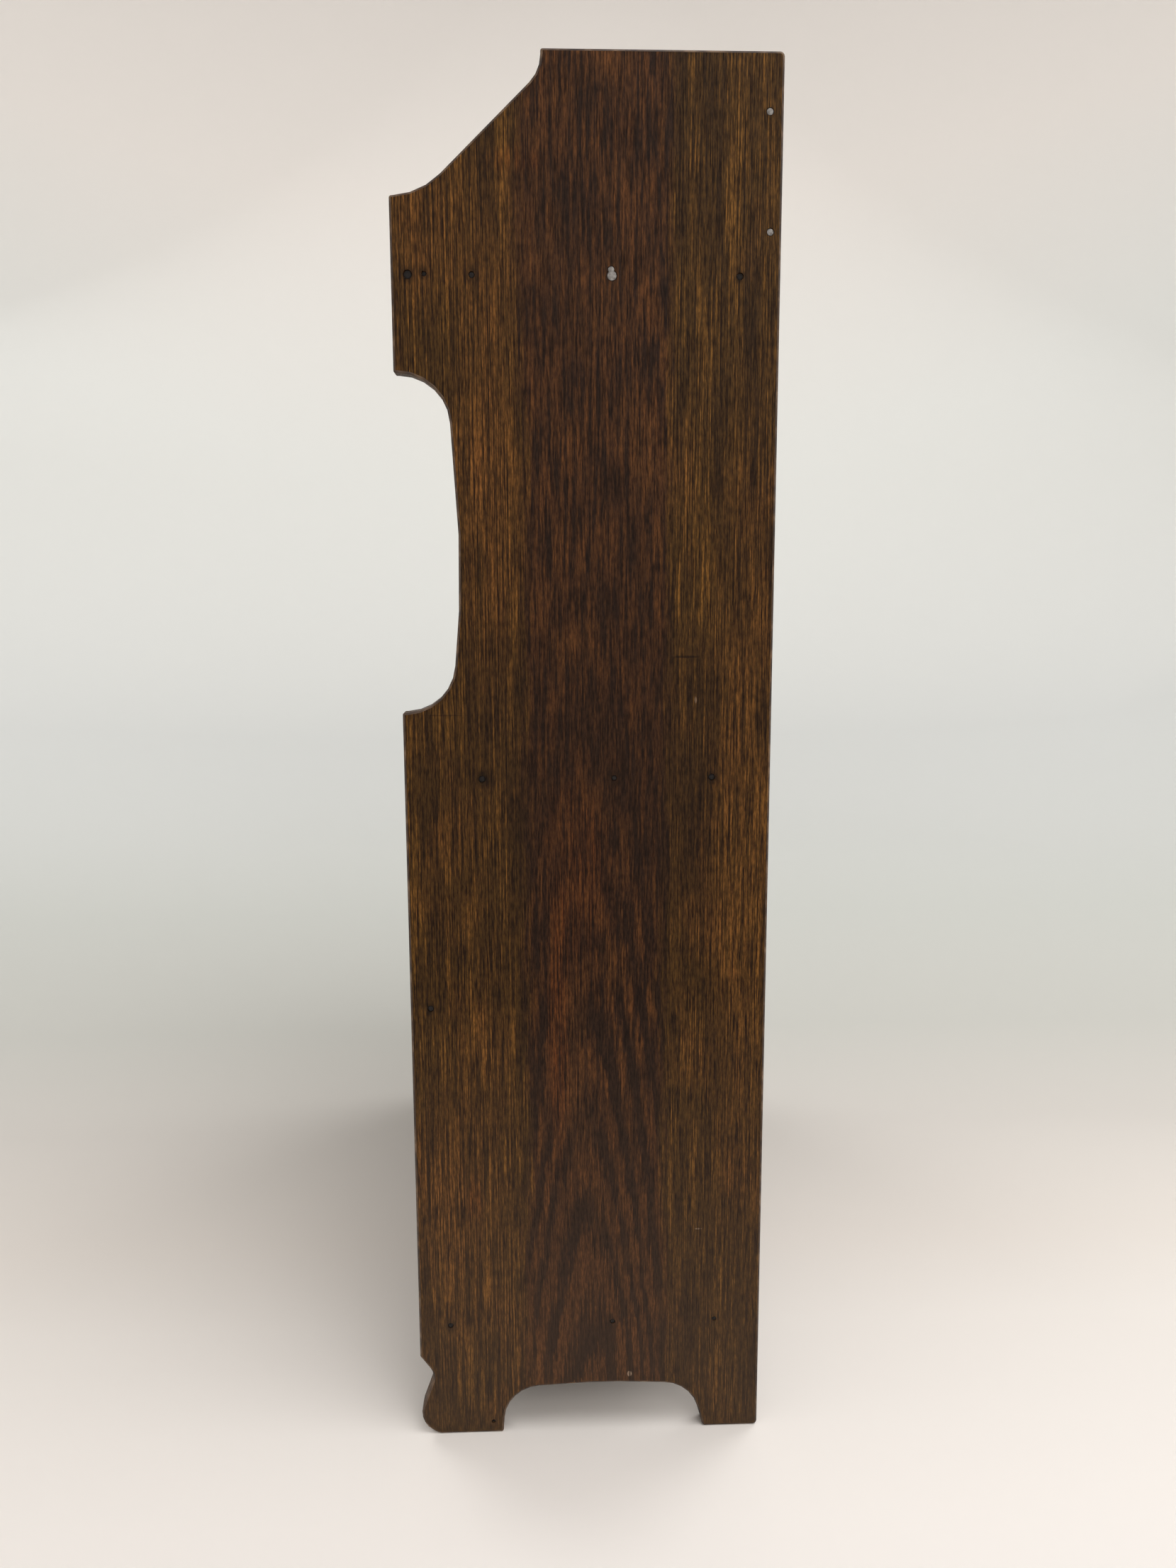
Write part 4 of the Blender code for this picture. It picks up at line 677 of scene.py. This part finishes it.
cutWith(backPanel, seams, "case")
finishMesh("nails_back", heads, [rustyNail], "case")
print("boards dressed")

# Brass ring round the dial: stepped and turned, with the hinge's eye on its left
bezelLook = {
    "gap": 0.3,             # mm between the ring and the dial
    "around": (144, 24),    # faces round the ring and round the eye
    "profile": [            # mm in from the rim, mm forward from the back: step, ovolo, bead and lip
        [(11.7, 0.0), (0.0, 0.0), (0.0, 2.3), (0.8, 3.3), (0.8, 4.5)],
        [(0.8, 4.5), (1.0, 7.4), (3.0, 9.4), (6.0, 10.3)],
        [(6.0, 10.3), (6.0, 11.1)],
        [(6.0, 11.1), (6.2, 12.95), (11.0, 12.95), (11.3, 11.1)],
        [(12.4, 10.8)], [(15.0, 10.4), (15.0, 10.0)], [(11.7, 10.0)],
    ],
    "eye": (1.6, 3.0),      # mm, bore and radius
    "eyeHalf": 5.7,         # mm, half of its length
    "tongue": (1.9, 7.3, 2.9),      # mm from the eye to both ends of the tongue, and its thickness
}
dialLow, dialHigh = (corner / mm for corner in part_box("dial_plate"))
ringLow, ringHigh = (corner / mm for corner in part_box("dial_bezel"))
dialFace = dialLow.y
dialZ = (dialLow.z + dialHigh.z) / 2
dialCentre = (0.0, 0.0, dialZ * mm)
rim = (ringHigh.z - ringLow.z) / 2
ringBack = dialFace - bezelLook["gap"]
bm = bmesh.new()
ringProfile = [(rim - inward, ringBack - forward) for inward, forward in traced(bezelLook["profile"])]
ringAround, eyeAround = bezelLook["around"]
lathe(bm, ringProfile, dialCentre, "Y", ringAround)
eyeBore, eyeR = bezelLook["eye"]
eyeX, eyeY = ringLow.x + eyeR, ringHigh.y - eyeR
eyeLow, eyeHigh = dialZ - bezelLook["eyeHalf"], dialZ + bezelLook["eyeHalf"]
lathe(bm, [(eyeBore, eyeLow), (eyeR, eyeLow), (eyeR, eyeHigh), (eyeBore, eyeHigh)],
      (eyeX * mm, eyeY * mm, 0.0), "Z", eyeAround)
near, far, thick = bezelLook["tongue"]
slab(bm, [(eyeX + near, eyeY - thick), (eyeX + far, eyeY - thick), (eyeX + far, eyeY), (eyeX + near, eyeY)],
     eyeLow, eyeHigh, lambda u, v, w: Vector((u, v, w)) * mm)
bezel = finishMesh("bezel_turned", bm, [agedBrass], "bezel", smooth=28)
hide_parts("dial_bezel")


# Dial: twelve numerals and a minute track in fired black
dialLook = {
    "thick": 0.12,          # mm that the black stands proud
    "foot": 56.5,           # mm, radius at the numerals' feet
    "tall": 17.5,
    "stroke": 2.3,          # mm, broad stroke
    "hair": 0.75,           # mm, thin stroke
    "track": (78.2, 81.0),  # mm, inner and outer line
    "line": 0.4,            # mm wide
    "minute": 0.44,         # mm, width of a minute's mark
    "hour": 1.5,            # mm, width of every fifth mark
    "around": 120,          # faces round the track
    "wide": {"I": 4.1, "V": 8.0, "X": 8.4},
}
bm = bmesh.new()
for hour, word in enumerate(("XII", "I", "II", "III", "IIII", "V", "VI", "VII", "VIII", "IX", "X", "XI")):
    turn = hour * math.tau / 12

    def dialPoint(u, v, w, turn=turn):
        # u to the right and v outwards from the numeral's foot, turned to its hour
        out = dialLook["foot"] + v
        x = out * math.sin(turn) + u * math.cos(turn)
        z = out * math.cos(turn) - u * math.sin(turn)
        return Vector((x, w, dialZ + z)) * mm

    total = sum(dialLook["wide"][letter] for letter in word)
    left = -total / 2
    tall, stroke, hair = dialLook["tall"], dialLook["stroke"], dialLook["hair"]
    near, far = dialFace - dialLook["thick"], dialFace
    for letter in word:
        wide = dialLook["wide"][letter]
        middle, right = left + wide / 2, left + wide
        bars = {
            "I": [(middle, middle, stroke)],
            "V": [(left + stroke / 2, middle, stroke), (right - hair, middle, hair)],
            "X": [(left + stroke / 2, right - stroke / 2, stroke), (right - hair, left + hair, hair)],
        }[letter]
        for top, foot, thick in bars:
            half = thick / 2
            slab(bm, [(foot - half, 0.0), (foot + half, 0.0), (top + half, tall), (top - half, tall)],
                 near, far, dialPoint)
        left = right
    for v in (0.0, tall):
        slab(bm, [(-total / 2, v - hair / 2), (total / 2, v - hair / 2), (total / 2, v + hair / 2),
                  (-total / 2, v + hair / 2)], near, far, dialPoint)
for radius in dialLook["track"]:
    half = dialLook["line"] / 2
    lathe(bm, [(radius - half, far), (radius + half, far), (radius + half, near), (radius - half, near)],
          dialCentre, "Y", dialLook["around"])
for minute in range(60):
    angle = minute * math.tau / 60
    half = (dialLook["minute"] if minute % 5 else dialLook["hour"]) / 2
    inner, outer = dialLook["track"]
    slab(bm, [(-half, inner), (half, inner), (half, outer), (-half, outer)], near, far,
         lambda u, v, w, a=angle: Vector((v * math.sin(a) + u * math.cos(a), w,
                                          dialZ + v * math.cos(a) - u * math.sin(a))) * mm)
finishMesh("dial_numerals", bm, [blackEnamel], "case", smooth=30)

# Brass grommet in the winding hole
grommetLook = {
    "around": 40,
    "profile": [            # mm radius, mm forward from the dial's face
        [(4.2, -0.2), (6.4, -0.05)], [(6.4, -0.05), (6.3, 0.9), (4.4, 1.3), (4.2, 0.4)],
    ],
}
low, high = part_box("winding_arbor")
middle = (low + high) / 2
bm = bmesh.new()
lathe(bm, [(radius, dialFace - forward) for radius, forward in traced(grommetLook["profile"])],
      (middle.x, 0.0, middle.z), "Y", grommetLook["around"])
finishMesh("winding_grommet", bm, [agedBrass], "case", smooth=50)
print("dial dressed")


# Drawer knobs: cast brass mushrooms on a turned rose
knobLook = {
    "around": 56,
    "profile": [            # share of the radius, share of the length: rose, neck, underside and crown
        [(0.0, 0.0), (0.62, 0.0), (0.64, 0.06)],
        [(0.64, 0.06), (0.5, 0.1), (0.4, 0.16), (0.4, 0.3)],
        [(0.4, 0.3), (0.4, 0.52), (1.0, 0.44), (1.0, 0.7)],
        [(1.0, 0.7), (1.0, 0.9), (0.6, 1.0), (0.0, 1.0)],
    ],
}
for drawer in ("upper_drawer", "lower_drawer"):
    for side in ("right", "left"):
        name = drawer + "_knob_" + side
        low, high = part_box(name)
        middle = (low + high) / 2
        reach, long = (high.x - low.x) / 2 / mm, (high.y - low.y) / mm
        bm = bmesh.new()
        outline = traced(knobLook["profile"])
        lathe(bm, [(reach * across, high.y / mm - long * along) for across, along in outline],
              (middle.x, 0.0, middle.z), "Y", knobLook["around"])
        knob = finishMesh(name + "_turned", bm, [agedBrass], drawer, smooth=40)
        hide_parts(name)

# Lever knob: a moulded pear with a flattened end
pearLook = {
    "around": 48,
    "profile": [            # share of the radius, share of the length: collar, swell and end
        [(0.0, 0.0), (0.5, 0.0), (0.55, 0.05)],
        [(0.55, 0.05), (0.5, 0.26), (1.0, 0.24), (1.0, 0.58)],
        [(1.0, 0.58), (1.0, 0.88), (0.66, 1.0), (0.0, 1.0)],
    ],
}
low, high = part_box("lever_knob")
middle = (low + high) / 2
bm = bmesh.new()
reach, long = (high.x - low.x) / 2 / mm, (high.y - low.y) / mm
lathe(bm, [(reach * across, high.y / mm - long * along) for across, along in traced(pearLook["profile"])],
      (middle.x, 0.0, middle.z), "Y", pearLook["around"])
pear = finishMesh("lever_knob_turned", bm, [bakelite], "punch", smooth=60)
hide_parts("lever_knob")


# Slotted round-head screws in the throat plate and the hinge leaf
screwLook = {
    "profile": [            # share of the radius, mm out from the plate
        [(0.0, -0.2), (1.0, -0.2), (1.0, 0.15)], [(1.0, 0.15), (0.92, 0.8), (0.5, 1.1), (0.0, 1.1)],
    ],
    "around": 28,
    "radius": 2.3,          # mm
    "tall": 1.1,            # mm
    "slot": 0.55,           # mm wide
    "deep": 0.6,            # mm
    "inset": 5.0,           # mm from a plate's edges
    "throatThick": 2.0,     # mm, throat plate, which lies on the same panel as the dial
    "leafThick": 1.2,       # mm, hinge leaf
    "leafIn": 8.4,          # mm from the hinge's outer end to its screws
    "firstTurn": 35.0,      # degrees
    "nextTurn": 47.0,
}
throatLow, throatHigh = (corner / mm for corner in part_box("card_throat"))
hingeLow, hingeHigh = (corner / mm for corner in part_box("bezel_hinge"))
inset = screwLook["inset"]
screwPlaces = [
    (x, dialHigh.y - screwLook["throatThick"], z) for x in (throatLow.x + inset, throatHigh.x - inset)
    for z in (throatLow.z + inset, throatHigh.z - inset)]
screwPlaces += [
    (hingeLow.x + screwLook["leafIn"], dialHigh.y - screwLook["leafThick"], z)
    for z in (hingeLow.z + inset, dialZ, hingeHigh.z - inset)]
for k, (x, y, z) in enumerate(screwPlaces):
    bm = bmesh.new()
    radius, tall = screwLook["radius"], screwLook["tall"]
    lathe(bm, [(radius * share, y - out) for share, out in traced(screwLook["profile"])],
          (x * mm, 0.0, z * mm), "Y", screwLook["around"])
    screw = finishMesh("screw_" + str(k + 1), bm, [agedBrass], "case", smooth=40)
    slit = bmesh.new()
    lean = math.radians(screwLook["firstTurn"] + screwLook["nextTurn"] * k)
    long, half = 2 * radius, screwLook["slot"] / 2
    slab(slit, [(-long, -half), (long, -half), (long, half), (-long, half)],
         y - 2 * tall, y - tall + screwLook["deep"],
         lambda u, v, w, a=lean, x=x, z=z: Vector((
             x + u * math.cos(a) - v * math.sin(a), w, z + u * math.sin(a) + v * math.cos(a))) * mm)
    cutWith(screw, slit, "case")
print("fittings dressed")

# Metal, glass and rubber that keep their CAD shape
finishes = {
    agedBrass: [
        "bezel_hinge", "hand_nut", "hour_wheel", "movement_front_plate", "movement_back_plate",
        "mainspring_barrel", "centre_wheel", "minute_drive_gear", "escape_wheel", "pendulum_bob",
        "upper_idler_gear", "lower_idler_gear"],
    groundSteel: [
        "winding_arbor", "pallet_anchor", "pendulum_rod", "type_arbor", "minute_type_wheel",
        "hour_type_wheel", "rocker_shaft", "return_spring"],
    japannedSteel: ["ribbon_spool_right", "ribbon_spool_left", "punch_lever", "minute_hand", "hour_hand"],
    castIron: ["type_bridge", "rocker_bracket", "print_hammer"],
    creamEnamel: ["dial_plate"],
    sash: ["dial_glass"],
    platenRubber: ["hammer_platen"],
    inkedRibbon: ["ink_ribbon"],
}
for material, names in finishes.items():
    for name in names:
        nodes[name].data.materials.clear()
        nodes[name].data.materials.append(material)
softened("card_throat", [agedBrass], roundMm=0.5, steps=2)
print("metal dressed")

# White paper sweep all round, with lamps above it; its tint holds painted light and painted shade
stageLook = {
    "middle": 0.6,          # m, radius of the floor's middle
    "floor": 1.9,           # m, radius of the flat part
    "curve": 0.9,           # m, radius of the bend
    "curveSteps": 12,
    "wall": 3.2,            # m, height
    "steps": 96,            # round the sweep
    "roughness": 0.95,
    "specular": 0.1,
    "fadeFrom": (0.9, 0.0, 0.0),    # m, where the paper's tint and its painted light start to change
    "fadeOver": 5.0,        # m to its end
    "turnOver": (0.4, 0.6),         # share of that way where the tint stops going by x and goes by distance
    "tints": [              # share of that way, colour: painted shade greyest just behind the object where its shadow falls, painted light towards +x
        (0.0, "#eeebe8"), (0.9, "#fcf5f0"), (0.1, "#f7f1ec"), (0.145, "#f2ece6"), (0.17, "#e8e1da"),
        (0.22, "#d2cdc7"), (0.28, "#c7c6c0"), (0.4, "#cacbc6"), (0.66, "#dbdcda"), (0.76, "#f5f5f2"),
        (0.81, "#fff9f4"),
    ],
}
bm = bmesh.new()
flat, bend = stageLook["floor"], stageLook["curve"]
profile = [(0.0, 0.0), (stageLook["middle"], 0.0), (flat, 0.0)]
for k in range(stageLook["curveSteps"]):
    a = (k + 1) * math.pi / 2 / stageLook["curveSteps"]
    profile.append((flat + bend * math.sin(a), bend * (1 - math.cos(a))))
profile.append((flat + bend, stageLook["wall"]))
rings = []
for r, z in profile:
    count = stageLook["steps"] if r else 1
    angles = [k * math.tau / count for k in range(count)]
    rings.append([bm.verts.new((r * math.cos(a), r * math.sin(a), z)) for a in angles])
for first, second in zip(rings, rings[1:]):
    for k in range(stageLook["steps"]):
        ahead = (k + 1) % stageLook["steps"]
        if len(first) == 1:
            bm.faces.new((first[0], second[k], second[ahead]))
        else:
            bm.faces.new((first[k], second[k], second[ahead], first[ahead]))
bmesh.ops.recalc_face_normals(bm, faces=bm.faces)
bmesh.ops.reverse_faces(bm, faces=bm.faces)
mesh = bpy.data.meshes.new("sweep")
bm.to_mesh(mesh)
bm.free()
mesh.shade_smooth()
# matt paper, warm white, with painted light towards +x and painted shade greyer further back, darkest just
# behind the object where its shadow falls
sweepPaintedLightShade, sweepTree, sweepShader = newMaterial("paperSweepPaintedShade")
spot = add(sweepTree, "TexCoord").outputs["Object"]
aside = add(sweepTree, "SeparateXYZ", {0: spot}).outputs[0]
fadeX = stageLook["fadeFrom"][0]
byX = add(sweepTree, "MapRange", {0: aside, 1: fadeX, 2: fadeX - stageLook["fadeOver"]}).outputs[0]
far = add(sweepTree, "VectorMath", {0: spot, 1: stageLook["fadeFrom"]}, operation="DISTANCE")
byFar = add(sweepTree, "MapRange", {0: far.outputs["Value"], 1: 0.0, 2: stageLook["fadeOver"]}).outputs[0]
turnFrom, turnTo = stageLook["turnOver"]
turnOver = add(sweepTree, "MapRange", {0: byX, 1: turnFrom, 2: turnTo}).outputs[0]
fade = add(sweepTree, "Mix", {0: turnOver, 2: byX, 3: byFar})
# the paper's colour with painted light and painted shade in it
paperPaintedLightShade = add(sweepTree, "ValToRGB", {0: fade.outputs[0]}, stops=stageLook["tints"])
sweepTree.links.new(paperPaintedLightShade.outputs[0], sweepShader.inputs["Base Color"])
sweepShader.inputs["Roughness"].default_value = stageLook["roughness"]
sweepShader.inputs["Specular IOR Level"].default_value = stageLook["specular"]
mesh.materials.append(sweepPaintedLightShade)
sweep = bpy.data.objects.new("sweep", mesh)
bpy.context.scene.collection.objects.link(sweep)
sweep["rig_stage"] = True

lampLook = {                # place, target, size in m, watts
    "overhead": ((0.9, 0.7, 2.6), (0.0, 0.0, 0.4), 1.8, 27.0),
    "cameraSide": ((2.3, 0.6, 1.5), (0.2, 0.0, 0.5), 1.6, 13.0),
    "farSide": ((-1.6, -1.6, 2.0), (0.0, 0.0, 0.5), 1.6, 18.0),
    "rear": ((-1.2, 1.7, 2.0), (0.0, 0.0, 0.5), 1.6, 20.0),
}
for name, (spot, target, size, watts) in lampLook.items():
    lamp = bpy.data.lights.new(name, "AREA")
    lamp.shape = "DISK"
    lamp.size = size
    lamp.energy = watts
    holder = bpy.data.objects.new(name, lamp)
    holder.location = spot
    holder.rotation_euler = (Vector(target) - Vector(spot)).to_track_quat("-Z", "Y").to_euler()
    bpy.context.scene.collection.objects.link(holder)
roomLook = {"Color": linear("#e6e6e4"), "Strength": 0.42}
world = bpy.data.worlds.new("room")
world.use_nodes = True
for socket, value in roomLook.items():
    world.node_tree.nodes["Background"].inputs[socket].default_value = value
bpy.context.scene.world = world

# Camera where the photograph was taken from: close to the right side, a little above the middle
cameraLook = {
    "place": (1.1124, -0.0327, 0.6032),
    "yaw": -2.3029,         # degrees
    "pitch": 9.4164,
    "roll": -0.1772,
    "lens": 28.67,          # mm
    "sensor": 36.0,         # mm, long side
}
yaw, pitch, roll = (math.radians(cameraLook[k]) for k in ("yaw", "pitch", "roll"))
ahead = Vector((-math.cos(yaw) * math.cos(pitch), -math.sin(yaw) * math.cos(pitch), -math.sin(pitch)))
level = ahead.cross(Vector((0, 0, 1))).normalized()
lift = level.cross(ahead)
right = math.cos(roll) * level + math.sin(roll) * lift
up = math.cos(roll) * lift - math.sin(roll) * level
camera = bpy.data.objects.new("camera", bpy.data.cameras.new("camera"))
camera.data.lens = cameraLook["lens"]
camera.data.sensor_width = cameraLook["sensor"]
aim = Matrix((right, up, -ahead)).transposed().to_4x4()
camera.matrix_world = Matrix.Translation(cameraLook["place"]) @ aim
bpy.context.scene.collection.objects.link(camera)
bpy.context.scene.camera = camera
bpy.context.scene.view_settings.view_transform = "Standard"
print("stage set")

low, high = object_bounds()
